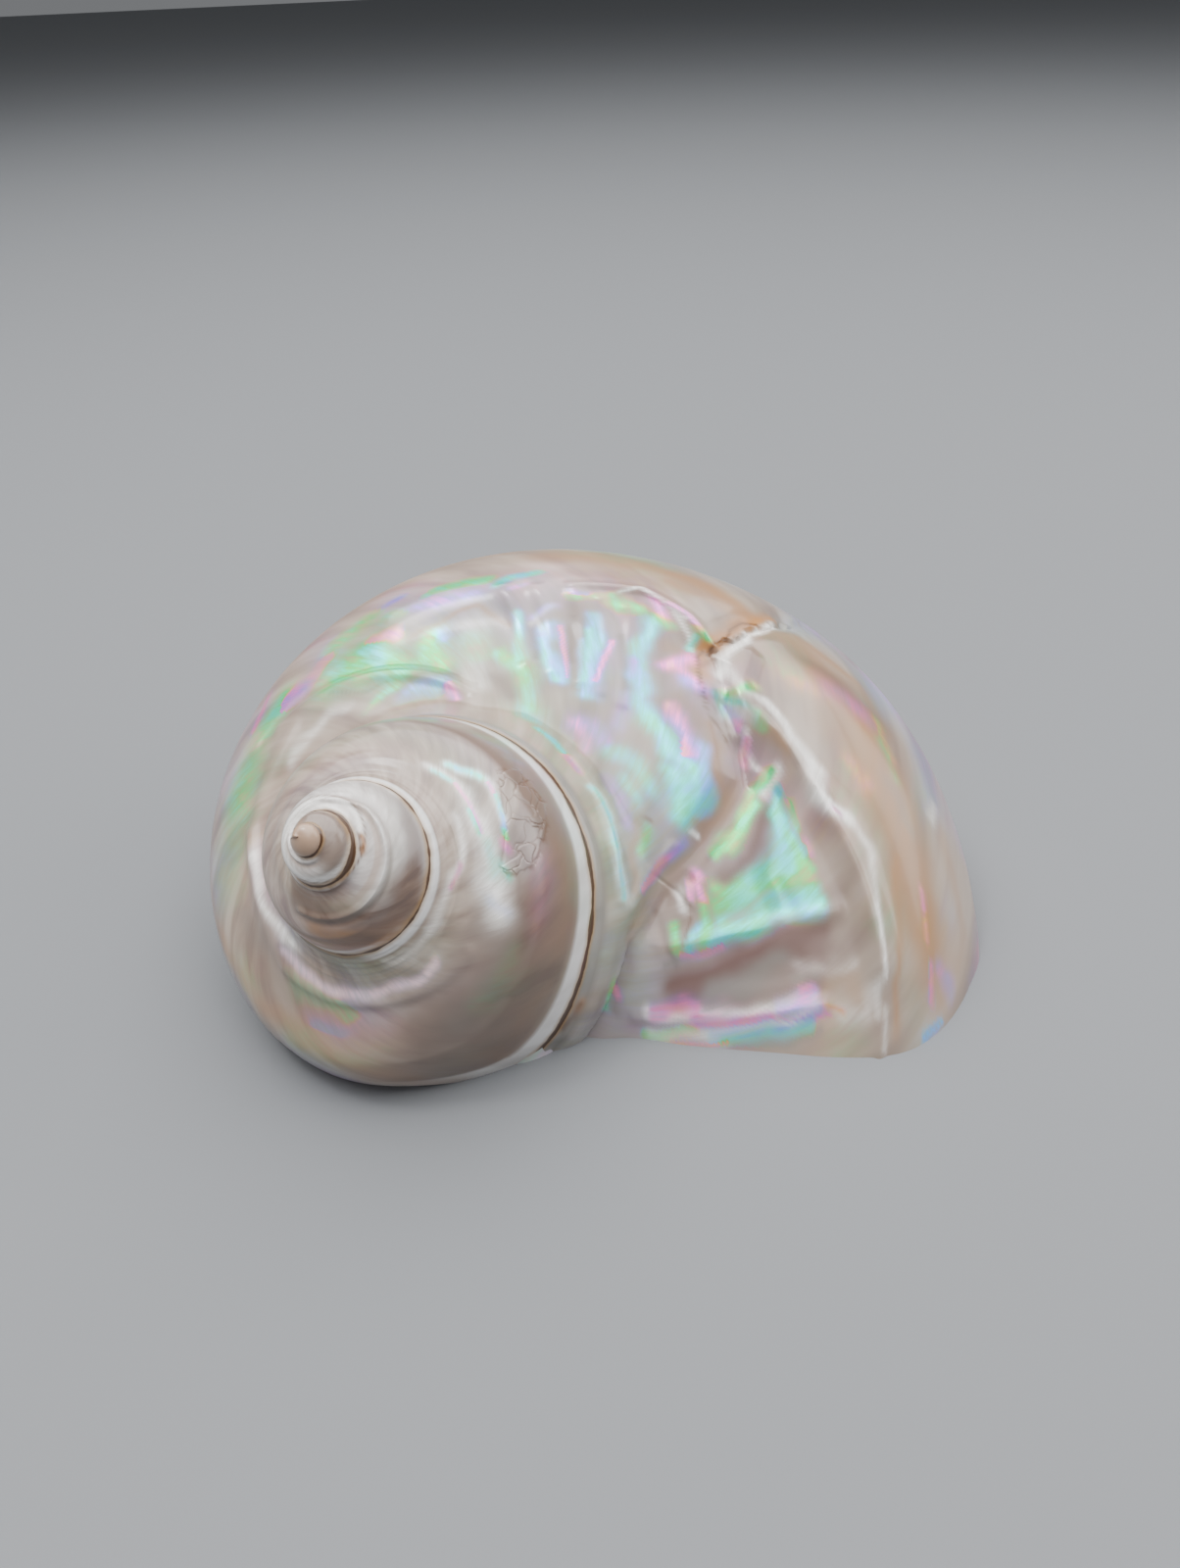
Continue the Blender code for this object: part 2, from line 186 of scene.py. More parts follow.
@dataclass(frozen=True)
class Growth:
    """The rule that the shell grows by: a section that widens and drops by one share a turn."""

    suture_radius: float = 0.0268
    widening: float = 0.1412
    drop: float = 1.323
    tip: tuple[float, float, float] = (-0.0376, -0.0408, 0.0505)
    axis_tilt: float = math.radians(45.2)
    axis_heading: float = math.radians(-114.75)
    start_heading: float = math.radians(-13.7)
    section: tuple[Place, ...] = (
        (0.0, 0.0), (0.234, 0.363), (0.555, 0.513), (0.9, 0.64), (1.25, 0.745), (1.48, 0.83),
        (1.64, 0.93), (1.78, 1.1), (1.91, 1.4), (1.98, 1.72), (1.85, 2.18), (1.4, 2.53),
        (0.75, 2.657), (0.0, 2.48), (-0.65, 2.03), (-1.0, 1.9))
    section_samples: int = 401
    section_length: float = 7.7
    next_suture: float = 0.5
    young_share: float = 0.658
    swell: tuple[float, float, float] = (-4.34, 0.0709, 0.35)  # start, rate, ease
    break_swell: tuple[float, float, float] = (-0.45, 0.5, 0.0485)  # middle, half length, share
    flat_side: tuple[float, float, float] = (-3.3, 0.8, -0.103)  # the same
    sink: tuple[float, float, float] = (0.35, 0.9, 0.21)  # start, length, depth in radii
    covered: Span = (-4.45, -0.75)

    @cached_property
    def axes(self) -> tuple[np.ndarray, np.ndarray, np.ndarray]:
        """The axis towards the tip, the outward direction of angle 0, and a quarter turn back."""
        flat = math.cos(self.axis_tilt)
        axis = np.array([flat * math.cos(self.axis_heading), flat * math.sin(self.axis_heading),
                         math.sin(self.axis_tilt)])
        start = np.array([math.cos(self.start_heading), math.sin(self.start_heading), 0.0])
        start[2] = -(start[:2] @ axis[:2]) / axis[2]
        start /= np.linalg.norm(start)
        return axis, start, np.cross(axis, start)

    @cached_property
    def curve(self) -> np.ndarray:
        """The full-grown section as evenly spread (out, down) steps from the suture."""
        return catmull(self.section, self.section_samples)

    def step(self, share: np.ndarray) -> np.ndarray:
        """The (out, down) step from the suture at each share of the full-grown section."""
        knots = np.linspace(0.0, 1.0, len(self.curve))
        return np.stack([np.interp(share, knots, self.curve[:, i]) for i in (0, 1)], -1)

    def size(self, turn: np.ndarray) -> np.ndarray:
        """The suture radius at each turn angle."""
        return self.suture_radius * np.exp(self.widening * turn)

    def fullness(self, turn: np.ndarray) -> np.ndarray:
        """The share of the full-grown section at each turn angle."""
        start, rate, ease = self.swell
        swell = rate * ease * np.logaddexp(0.0, (turn - start) / ease)
        local = sum(share * bump((turn - at) / span)
                    for at, span, share in (self.break_swell, self.flat_side))
        return self.young_share + swell + local

    def suture(self, turn: np.ndarray) -> np.ndarray:
        """The (out, down) of the suture line from the tip of the growth cone."""
        start, span, depth = self.sink
        radius = self.size(turn)
        return np.stack([radius, radius * (self.drop + depth * rise(turn, start, span))], -1)

    def section_at(self, turn: np.ndarray, share: np.ndarray) -> np.ndarray:
        """The (out, down) of the surface. Young whorls end exactly on the next whorl's suture."""
        scale = (self.size(turn) * self.fullness(turn))[..., None]
        suture = self.suture(turn)
        gap = self.suture(turn + TURN) - suture - scale * self.step(np.array(self.next_suture))
        covered = rise(turn, *self.covered)[..., None]
        across = (share / self.next_suture)[..., None]
        reach = np.where(across < 1.0, across ** 3, np.clip(2.0 - across, 0.0, 1.0))
        return suture + scale * self.step(share) + gap * covered * reach

    def in_space(self, turn: np.ndarray, out_down: np.ndarray) -> np.ndarray:
        """The points in space of (out, down) pairs at turn angles."""
        axis, start, back = self.axes
        radial = np.cos(turn)[..., None] * start - np.sin(turn)[..., None] * back
        return np.asarray(self.tip) + out_down[..., :1] * radial - out_down[..., 1:] * axis

    def from_space(self, points: np.ndarray) -> tuple[np.ndarray, np.ndarray]:
        """The turn angle, and the (out, down) pair, of points in space."""
        axis, start, back = self.axes
        off = points - np.asarray(self.tip)
        down = -(off @ axis)
        radial = off + down[..., None] * axis
        turn = np.arctan2(-(radial @ back), radial @ start)
        return turn, np.stack([np.linalg.norm(radial, axis=-1), down], -1)

    def surface(self, turn: np.ndarray, share: np.ndarray) -> np.ndarray:
        """The points of the surface without relief."""
        return self.in_space(turn, self.section_at(turn, share))

    def metric(self, turn: np.ndarray, share: np.ndarray) -> tuple[np.ndarray, np.ndarray]:
        """Metres of surface for a radian of turn, and for a whole section, at each place."""
        out = self.section_at(turn, share)[..., 0]
        return out, self.section_length * self.size(turn) * self.fullness(turn)

    def distance(self, turn: np.ndarray, share: np.ndarray, line: Sequence[Place]) -> np.ndarray:
        """Measures along the surface to a line.

        Args:
            turn: Turn angles of the places.
            share: Shares of the section of the places.
            line: The line's own places, at least one.

        Returns:
            The distance in metres from each place to the nearest part of the line.
        """
        per_turn, per_share = self.metric(turn, share)
        nearest = np.full(turn.shape, np.inf)
        ends = list(line[1:]) or [line[0]]
        for (t0, s0), (t1, s1) in zip(line, ends):
            run_x, run_y = per_turn * (t1 - t0), per_share * (s1 - s0)
            x, y = per_turn * (turn - t0), per_share * (share - s0)
            along = np.clip((x * run_x + y * run_y) / (run_x ** 2 + run_y ** 2 + 1e-12), 0.0, 1.0)
            nearest = np.minimum(nearest, np.hypot(x - along * run_x, y - along * run_y))
        return nearest


@dataclass(frozen=True)
class Ridge:
    """A rounded ridge along a line on the shell, or a groove where its height is negative."""

    line: tuple[Place, ...]
    height: float
    width: float

    def lift(self, growth: Growth, turn: np.ndarray, share: np.ndarray) -> np.ndarray:
        """The height that it adds at each place."""
        return self.height * bump(growth.distance(turn, share, self.line) / self.width)


@dataclass(frozen=True)
class Relief:
    """The carved look of the shell: crests, shoulder, keel, furrow, healed break, folds, flakes."""

    growth: Growth
    crest: tuple[Place, ...] = (
        (-14.0, 0.16), (-3.2, 0.15), (-2.3, 0.2), (-1.9, 0.16), (-1.5, 0.11), (-1.25, 0.075))
    crest_size: tuple[float, float] = (0.6 * MM, 2.8 * MM)  # height, half width, as in the next sizes
    crest_fade: tuple[float, float, float] = (-11.5, 3.0, 0.7)  # start, ease, power of the growth
    furrow: tuple[Place, ...] = (
        (-0.69, 0.45), (-0.69, 0.26), (-0.55, 0.222), (-0.28, 0.19), (-0.18, 0.158),
        (0.066, 0.083), (0.335, 0.05), (0.9, 0.036))
    furrow_size: tuple[float, float] = (1.2 * MM, 2.5 * MM)
    furrow_fade: Span = (-3.0, 0.5)
    # height, ease where it is crisp and where it is soft, reach
    step_size: tuple[float, float, float, float] = (0.9 * MM, 0.8 * MM, 3.2 * MM, 12.0 * MM)
    step_crisp: Span = (0.225, 0.03)
    crumble_depth: float = 0.4 * MM
    crumble_above: Span = (0.235, 0.02)
    crumble_waves: tuple[Wave, ...] = ((1.0, 93.0, 0.0), (0.7, 217.0, 1.0), (0.4, 401.0, 2.0))
    seam_ease: float = 0.012
    fold_starts: tuple[float, ...] = (-1.325, -1.208, -1.08, -0.995, -0.91)
    fold_lean: float = 1.9  # radians of turn for a whole section
    fold_shares: tuple[float, float, float] = (0.262, 0.24, 0.145)
    fold_size: tuple[float, float] = (0.38 * MM, 1.5 * MM)
    cord_shares: tuple[float, ...] = (0.03, 0.05, 0.072, 0.096)
    cord_size: tuple[float, float] = (0.16 * MM, 0.32 * MM)
    cord_turns: tuple[Span, Span] = ((-12.2, 0.6), (-3.4, -0.8))
    cord_full_at: float = 11.0 * MM
    flake_outline: tuple[Place, ...] = (
        (-6.85, 0.315), (-6.84, 0.4), (-6.72, 0.419), (-6.58, 0.419), (-6.39, 0.375),
        (-6.21, 0.328), (-6.12, 0.263), (-6.12, 0.214), (-6.32, 0.232), (-6.6, 0.272))
    flake_wander: tuple[Wave, ...] = ((0.012, 95.0, 0.0), (0.008, 230.0, 2.0))
    flake_height: float = 0.13 * MM
    flake_size: float = 2.9 * MM
    flake_stray: tuple[float, float] = (0.35, 1.7)  # how far and how finely the cracks stray
    # gives each flake its height
    flake_scatter: tuple[float, float, float, float] = (12.9, 78.2, 37.7, 437.5)
    # depth, widths inside and at the rim
    flake_crack: tuple[float, float, float] = (0.1 * MM, 0.045, 0.3 * MM)
    # height, place below the suture, width
    collar: tuple[float, float, float] = (0.3 * MM, 1.1 * MM, 0.75 * MM)
    ring: tuple[Place, ...] = (
        (-17.4, 0.1), (-15.5, 0.13), (-13.6, 0.16), (-13.2, 0.2), (-12.4, 0.224), (-11.8, 0.234),
        (-11.3, 0.22), (-10.4, 0.2))
    cracks: tuple[tuple[Place, ...], ...] = (
        ((0.103, 0.091), (0.178, 0.098), (0.238, 0.104)), ((0.058, 0.201), (0.08, 0.214), (0.103, 0.228)))

    @cached_property
    def ridges(self) -> tuple[Ridge, ...]:
        """The single ridges and grooves, from the oldest part of the shell to the mouth."""
        return (
            Ridge(self.ring, 0.42 * MM, 0.5 * MM),
            Ridge(tuple((t, s + 0.038) for t, s in self.ring), -0.2 * MM, 0.6 * MM),
            Ridge(((-5.5, 0.19), (-4.8, 0.157), (-4.2, 0.153), (-3.9, 0.16)), 0.35 * MM, 1.3 * MM),
            Ridge(((-3.71, 0.12), (-3.46, 0.124), (-3.18, 0.14), (-2.95, 0.17)), 0.6 * MM, 2.0 * MM),
            Ridge(((-2.4, 0.225), (-2.08, 0.19), (-1.68, 0.133), (-1.32, 0.08)), 0.4 * MM, 1.4 * MM),
            Ridge(((-2.5, 0.25), (-2.1, 0.215), (-1.7, 0.16), (-1.35, 0.105)), -0.3 * MM, 1.2 * MM),
            Ridge(((-1.75, 0.25), (-1.2, 0.262), (-0.95, 0.298), (-0.72, 0.276)), 1.3 * MM, 6.0 * MM),
            Ridge(((-1.15, 0.275), (-0.95, 0.3), (-0.8, 0.29), (-0.7, 0.272)), 0.5 * MM, 1.1 * MM),
            Ridge(((-0.56, 0.238), (-0.25, 0.251), (0.0, 0.278), (0.2, 0.296)), 1.7 * MM, 4.2 * MM),
            Ridge(((-0.45, 0.25), (-0.25, 0.251), (0.0, 0.278), (0.2, 0.296), (0.55, 0.314)),
                  0.4 * MM, 1.5 * MM),
            Ridge(((-0.38, 0.25), (-0.25, 0.253), (-0.12, 0.26)), 0.6 * MM, 1.9 * MM),
            Ridge(((-0.62, 0.3), (-0.57, 0.262), (-0.5, 0.235), (-0.42, 0.215)), 0.9 * MM, 1.8 * MM),
            Ridge(((-0.294, 0.21), (-0.181, 0.175), (-0.06, 0.135), (0.02, 0.115)), 0.3 * MM, 1.0 * MM),
            Ridge(((-0.2, 0.215), (0.02, 0.19), (0.12, 0.2)), -0.35 * MM, 2.6 * MM),
            Ridge(((0.34, 0.08), (0.222, 0.145), (0.15, 0.2), (0.105, 0.25)), 0.45 * MM, 1.5 * MM),
            Ridge(((0.48, 0.09), (0.36, 0.15), (0.27, 0.21)), -0.3 * MM, 2.6 * MM),
            Ridge(((0.66, 0.07), (0.52, 0.13), (0.42, 0.19), (0.34, 0.24)), 0.4 * MM, 1.1 * MM),
            Ridge(((-0.09, 0.1), (0.02, 0.07), (0.2, 0.045)), 0.35 * MM, 0.9 * MM),
            Ridge(((-0.6, 0.05), (-0.3, 0.038), (0.18, 0.031)), 0.3 * MM, 0.9 * MM),
            Ridge(((-1.0, 0.075), (-0.6, 0.068), (-0.25, 0.06)), -0.25 * MM, 1.6 * MM),
            Ridge(((0.03, 0.075), (0.1, 0.095), (0.17, 0.105)), -0.18 * MM, 0.3 * MM),
        )

    def healed_step(self, turn: np.ndarray, share: np.ndarray) -> np.ndarray:
        """How far the growth after the healed break lies below the shell before it."""
        height, crisp, soft, fade = self.step_size
        break_turns, break_shares = np.array(self.furrow[::-1]).T
        crumble = self.crumble_depth * ripple(share, self.crumble_waves) * rise(share, *self.crumble_above)
        past = (turn - np.interp(share, break_shares, break_turns)) * self.growth.metric(turn, share)[0]
        far = self.growth.distance(turn, share, self.furrow)
        ease = soft + (crisp - soft) * rise(share, *self.step_crisp)
        return height * smooth((past + crumble) / ease) * np.exp(-far / fade)

    def folds(self, turn: np.ndarray, share: np.ndarray) -> np.ndarray:
        """The slanting pleats behind the break, where the young mantle puckered."""
        height, width = self.fold_size
        first, middle, last = self.fold_shares
        total = np.zeros(turn.shape)
        for start in self.fold_starts:
            line = tuple((start + self.fold_lean * (middle - s), s) for s in (first, middle, last))
            total += Ridge(line, height, width).lift(self.growth, turn, share)
        return total

    def cords(self, turn: np.ndarray, share: np.ndarray) -> np.ndarray:
        """The fine spiral cords under the suture of the whorl before the last."""
        height, width = self.cord_size
        begin, end = self.cord_turns
        per_share = self.growth.metric(turn, share)[1]
        rows = sum(bump((share - at) * per_share / width) for at in self.cord_shares)
        older = rise(turn, *end) * rise(turn, *begin)
        return height * rows * older * np.clip(self.growth.size(turn) / self.cord_full_at, 0.3, 1.0)

    def inside_flakes(self, turn: np.ndarray, share: np.ndarray) -> np.ndarray:
        """1 inside the cracked patch of the whorl before the last, and 0 outside it."""
        inside = np.zeros(turn.shape, bool)
        corners = self.flake_outline
        for (t0, s0), (t1, s1) in zip(corners, corners[1:] + corners[:1]):
            crosses = (s0 > share) != (s1 > share)
            at = t0 + (share - s0) * (t1 - t0) / (s1 - s0 if s1 != s0 else 1e-9)
            inside ^= crosses & (turn < at)
        return inside.astype(float)

    def flakes(self, turn: np.ndarray, share: np.ndarray) -> tuple[np.ndarray, np.ndarray]:
        """The height of the cracked patch, and how much of a crack there is, at each place."""
        lift, crack = np.zeros(turn.shape), np.zeros(turn.shape)
        wander = ripple(share, self.flake_wander)
        inside = self.inside_flakes(turn + wander, share + 0.2 * wander) > 0.5
        if not inside.any():
            return lift, crack
        deep, narrow, rim_width = self.flake_crack
        stray, rate = self.flake_stray
        a, b, c, scatter = self.flake_scatter
        levels, edges = [], []
        for point in self.growth.surface(turn[inside], share[inside]):
            spot = Vector(point) / self.flake_size
            far, (cell, *_) = noise.voronoi(spot + stray * noise.noise_vector(rate * spot))
            edges.append(far[1] - far[0])
            levels.append(math.sin(cell.x * a + cell.y * b + cell.z * c) * scatter % 1.0)
        level = np.array(levels)
        split = bump(np.array(edges) / narrow) * smooth(0.35 + 1.3 * level)
        rim = self.growth.distance(turn[inside], share[inside], self.flake_outline + self.flake_outline[:1])
        split = np.maximum(split, 0.8 * bump(rim / rim_width))
        lift[inside] = self.flake_height * (0.15 + 0.85 * level) - deep * split
        crack[inside] = split
        return lift, crack

    def height(self, turn: np.ndarray, share: np.ndarray) -> np.ndarray:
        """Adds up the relief.

        Args:
            turn: Turn angles of the places.
            share: Shares of the section of the places.

        Returns:
            The height of the surface relief in metres, outwards.
        """
        begins, ease, power = self.crest_fade
        tall, wide = self.crest_size
        grown = np.clip(self.growth.size(turn) / self.growth.suture_radius, 0.0, 1.0) ** power
        far = self.growth.distance(turn, share, self.crest)
        high = tall * grown * rise(turn, begins, ease) * bump(far / (wide * grown))
        high = high + sum(ridge.lift(self.growth, turn, share) for ridge in self.ridges)
        high = high + self.folds(turn, share) + self.cords(turn, share)
        high = high + self.flakes(turn, share)[0]
        collar, below, wide = self.collar
        to_suture = share * self.growth.metric(turn, share)[1]
        grown = grown / (0.3 + 0.7 * grown)
        high = high + collar * grown * bump((to_suture - below * grown) / (wide * grown))
        low = Ridge(self.furrow, *self.furrow_size).lift(self.growth, turn, share)
        low = low + self.healed_step(turn, share)
        from_seam = np.minimum(share, abs(share - self.growth.next_suture))
        return (high - low * rise(turn, *self.furrow_fade)) * smooth(from_seam / self.seam_ease)


@dataclass(frozen=True)
class PhotoCamera:
    """The camera of the photograph, in the shell's frame."""

    position: tuple[float, float, float] = (-0.001047, -0.158287, 0.141434)
    pitch: float = 0.6287
    roll: float = 0.0464
    focal_px: float = 1225.6
    image_px: tuple[int, int] = (1204, 1600)
    sensor_mm: float = 36.0

    @cached_property
    def axes(self) -> tuple[np.ndarray, np.ndarray, np.ndarray]:
        """The directions of image right, image down and the view."""
        ahead = np.array([0.0, math.cos(self.pitch), -math.sin(self.pitch)])
        below = np.array([0.0, -math.sin(self.pitch), -math.cos(self.pitch)])
        side = np.array([1.0, 0.0, 0.0])
        right = side * math.cos(self.roll) + below * math.sin(self.roll)
        down = below * math.cos(self.roll) - side * math.sin(self.roll)
        return right, down, ahead

    def project(self, points: np.ndarray) -> tuple[np.ndarray, np.ndarray]:
        """The photograph's pixels of points in space, and their depths."""
        right, down, ahead = self.axes
        off = points - np.asarray(self.position)
        depth = off @ ahead
        x = self.image_px[0] / 2 + self.focal_px * (off @ right) / depth
        y = self.image_px[1] / 2 + self.focal_px * (off @ down) / depth
        return np.stack([x, y], -1), depth

    def add(self) -> Object:
        """Adds the camera to the scene and makes it the one that renders."""
        right, down, ahead = self.axes
        data = bpy.data.cameras.new("photo_camera")
        data.sensor_fit = "AUTO"
        data.sensor_width = self.sensor_mm
        data.lens = self.focal_px / max(self.image_px) * self.sensor_mm
        data.clip_start = 0.01
        camera = add_object("photo_camera", data)
        turned = Matrix((right, -down, -ahead)).transposed().to_4x4()
        camera.matrix_world = Matrix.Translation(Vector(self.position)) @ turned
        bpy.context.scene.camera = camera
        return camera


class Tone(Enum):
    """What a mark does to the colour of the shell. The glow is painted sheen, the white partly painted
    highlight, and the taupe, mauve and grey partly painted shade.
    """

    GLOW = "glow"
    PORCELAIN = "porcelain"
    WHITE = "white"
    TAN = "tan"
    TAUPE_AND_SHADE = "taupe"
    MAUVE_AND_SHADE = "mauve"
    GREY_AND_SHADE = "grey"
    ORANGE = "orange"
    STAIN = "stain"


class Hue(Enum):
    """Interference colours of thick nacre, as a share of one order, painted into the colour as sheen."""

    GREEN = 0.0
    AQUA = 0.16
    SKY = 0.32
    LILAC = 0.5
    PINK = 0.66
    PEACH = 0.83


@dataclass(frozen=True)
class Mark:
    """One mark of the shell's surface, along a few pixels that were read off the photograph."""

    tone: Tone
    width_mm: float
    amount: float
    path: tuple[Pixel, ...]
    hue: Hue = Hue.GREEN


def marks(*rows: tuple) -> tuple[Mark, ...]:
    """Makes marks. Where two glows of painted sheen meet, the later one's hue lies on top.

    Args:
        rows: For each mark its tone, or the hue of a glow, then the half width in millimetres, the
            amount, and the pixels of the path.

    Returns:
        The marks.
    """
    return tuple(Mark(kind, width, amount, tuple(path)) if isinstance(kind, Tone)
                 else Mark(Tone.GLOW, width, amount, tuple(path), kind)
                 for kind, width, amount, *path in rows)


GREEN, AQUA, SKY, LILAC, PINK, PEACH = Hue
WHITE, TAN, TAUPE_AND_SHADE, MAUVE_AND_SHADE, GREY_AND_SHADE, ORANGE, STAIN = (
    Tone.WHITE, Tone.TAN, Tone.TAUPE_AND_SHADE, Tone.MAUVE_AND_SHADE, Tone.GREY_AND_SHADE, Tone.ORANGE, Tone.STAIN)

# broad washes under all the rest: the tan is the shell's warm colour, the taupe and mauve partly its dull
# colour and partly painted shade on the lower parts and around the painted sheen
WASHES = marks(
    (MAUVE_AND_SHADE, 6.0, 0.3, (765, 835), (720, 890), (700, 960), (760, 980)),
    (TAUPE_AND_SHADE, 5.0, 0.5, (690, 730), (700, 780)),
    (TAN, 7.0, 0.75, (830, 680), (890, 760), (930, 860), (950, 960)),
    (TAN, 4.0, 0.6, (560, 566), (640, 576), (700, 592), (770, 640)),
    # partly painted shade on the lower parts of the whorl before the last and of the young whorls
    (TAUPE_AND_SHADE, 5.0, 0.85, (440, 1050), (520, 1000), (545, 930)),
    (TAUPE_AND_SHADE, 2.2, 0.85, (303, 915), (345, 935), (395, 930), (425, 900)),
    (TAUPE_AND_SHADE, 1.2, 0.7, (305, 900), (335, 906), (352, 895)),
    (TAN, 6.0, 0.5, (850, 700), (900, 790), (930, 900), (950, 1000)),
    (TAN, 3.0, 0.5, (700, 590), (760, 622), (820, 660)),
    (MAUVE_AND_SHADE, 4.0, 0.4, (500, 950), (470, 1010)),
    # partly painted shade: darker on the lower left and around the painted sheen
    (TAUPE_AND_SHADE, 6.0, 0.4, (270, 970), (330, 1040), (420, 1080)),
    (TAUPE_AND_SHADE, 3.0, 0.6, (830, 1005), (760, 1005), (700, 1020)),
    (MAUVE_AND_SHADE, 4.0, 0.35, (600, 740), (620, 790), (640, 850)),
    (TAUPE_AND_SHADE, 3.5, 0.35, (720, 830), (690, 870), (660, 920)),
    (TAUPE_AND_SHADE, 3.0, 0.4, (600, 640), (580, 690), (520, 700)),
    (TAUPE_AND_SHADE, 3.0, 0.35, (400, 700), (450, 690)),
)

# the left flank, from the shoulder of the last whorl down to its foot
LEFT_MARKS = marks(
    (GREEN, 2.5, 0.69, (272, 745), (290, 715)),
    (LILAC, 1.7, 0.52, (293, 718), (308, 700)),
    (PINK, 1.0, 0.57, (264, 735), (272, 713)),
    (PINK, 2.0, 0.29, (305, 700), (330, 680)),
    (GREEN, 2.2, 0.57, (345, 655), (372, 635)),
    (GREEN, 3.4, 0.92, (350, 690), (372, 670), (398, 684)),
    (AQUA, 1.5, 0.98, (376, 660), (393, 673)),
    (PINK, 1.0, 0.69, (378, 652), (402, 649)),
    (GREEN, 1.7, 0.52, (412, 682), (432, 668)),
    (GREEN, 2.2, 0.86, (445, 652), (451, 680)),
    (SKY, 1.1, 0.69, (452, 645), (457, 650)),
    (LILAC, 1.1, 0.69, (393, 617), (412, 608)),
    (GREEN, 1.4, 0.34, (390, 630), (405, 630)),
    (LILAC, 1.7, 0.69, (430, 618), (475, 607)),
    (GREEN, 1.4, 0.86, (452, 602), (492, 592)),
    (GREEN, 1.3, 0.57, (378, 716), (402, 704)),
    (SKY, 1.7, 0.57, (422, 706), (450, 700)),
    (PINK, 0.6, 0.69, (456, 697), (464, 712)),
    (GREEN, 3.6, 0.40, (244, 815), (252, 785)),
    (GREEN, 2.6, 0.14, (300, 1005), (318, 1012)),
    (GREEN, 1.8, 0.14, (338, 1020), (352, 1032)),
    (SKY, 2.2, 0.1, (325, 1045), (345, 1052)),
    (PINK, 0.8, 0.2, (287, 971), (326, 999), (361, 1014), (400, 1008), (444, 986)),
    (WHITE, 0.8, 0.6, (287, 971), (326, 999), (361, 1014), (400, 1008), (444, 986)),
    # painted highlight streak
    (WHITE, 1.4, 0.75, (259, 872), (263, 901), (275, 935), (292, 964)),
    (WHITE, 1.6, 0.4, (300, 770), (330, 730), (345, 725)),
    # painted shadow of the groove above the pale ridge
    (TAUPE_AND_SHADE, 0.5, 0.5, (337, 708), (372, 705), (398, 694), (433, 686), (468, 689)),
    (TAN, 0.7, 0.7, (412, 650), (450, 634), (484, 620), (503, 631), (517, 638)),
    (TAN, 2.6, 0.55, (262, 700), (330, 632), (420, 580), (520, 562)),
    (TAN, 3.0, 0.5, (215, 900), (240, 990), (300, 1050), (380, 1095), (460, 1105)),
    (GREY_AND_SHADE, 1.6, 0.35, (248, 932), (262, 960)),
)

# the pleats behind the healed break
FOLD_MARKS = marks(
    (AQUA, 1.2, 0.95, (506, 595), (524, 590), (545, 584)),
    (LILAC, 0.6, 0.5, (520, 600), (534, 596)),
    (AQUA, 0.9, 0.9, (531, 626), (532, 650), (537, 674)),
    (SKY, 1.3, 0.9, (562, 640), (560, 662), (566, 690)),
    (AQUA, 0.6, 0.7, (554, 650), (558, 680), (566, 692)),
    (PINK, 0.35, 0.8, (573, 640), (577, 690)),
    (SKY, 0.5, 0.6, (591, 650), (591, 700)),
    (SKY, 1.2, 0.9, (603, 625), (606, 650), (603, 690), (598, 708)),
    (AQUA, 0.6, 0.6, (600, 640), (598, 690)),
    (PINK, 0.5, 0.95, (622, 655), (615, 675), (608, 692)),
    # painted shade in the gaps between the pleats
    (TAUPE_AND_SHADE, 0.6, 0.6, (546, 640), (548, 672)),
    (TAUPE_AND_SHADE, 0.7, 0.6, (582, 630), (583, 670)),
    (TAUPE_AND_SHADE, 0.5, 0.5, (613, 640), (612, 660)),
    (TAUPE_AND_SHADE, 0.8, 0.5, (632, 650), (634, 700)),
    (LILAC, 0.9, 0.55, (548, 628), (562, 617)),
    (WHITE, 0.6, 0.5, (545, 634), (562, 616)),
    (GREEN, 1.0, 0.45, (580, 606), (625, 602)),
    (LILAC, 0.8, 0.35, (582, 604), (598, 604)),
    (GREEN, 1.3, 0.65, (625, 612), (650, 625)),
    (GREEN, 1.6, 0.3, (478, 652), (488, 668)),
    (GREEN, 1.5, 0.65, (511, 663), (538, 689), (541, 715)),
    (AQUA, 1.2, 0.45, (536, 715), (540, 730)),
    (AQUA, 0.5, 0.95, (548, 740), (562, 754), (576, 767)),
    (PINK, 0.7, 0.5, (578, 768), (590, 784)),
    (LILAC, 2.2, 0.4, (592, 742), (612, 752)),
    (PINK, 1.2, 0.35, (586, 738), (596, 760)),
    (AQUA, 2.0, 0.5, (630, 765), (655, 790), (668, 812)),
    (LILAC, 1.6, 0.35, (628, 735), (634, 705)),
    (WHITE, 1.6, 0.35, (480, 640), (486, 700)),
    (TAUPE_AND_SHADE, 1.4, 0.45, (500, 690), (520, 706)),
    (TAUPE_AND_SHADE, 0.9, 0.5, (620, 770), (610, 795)),
)
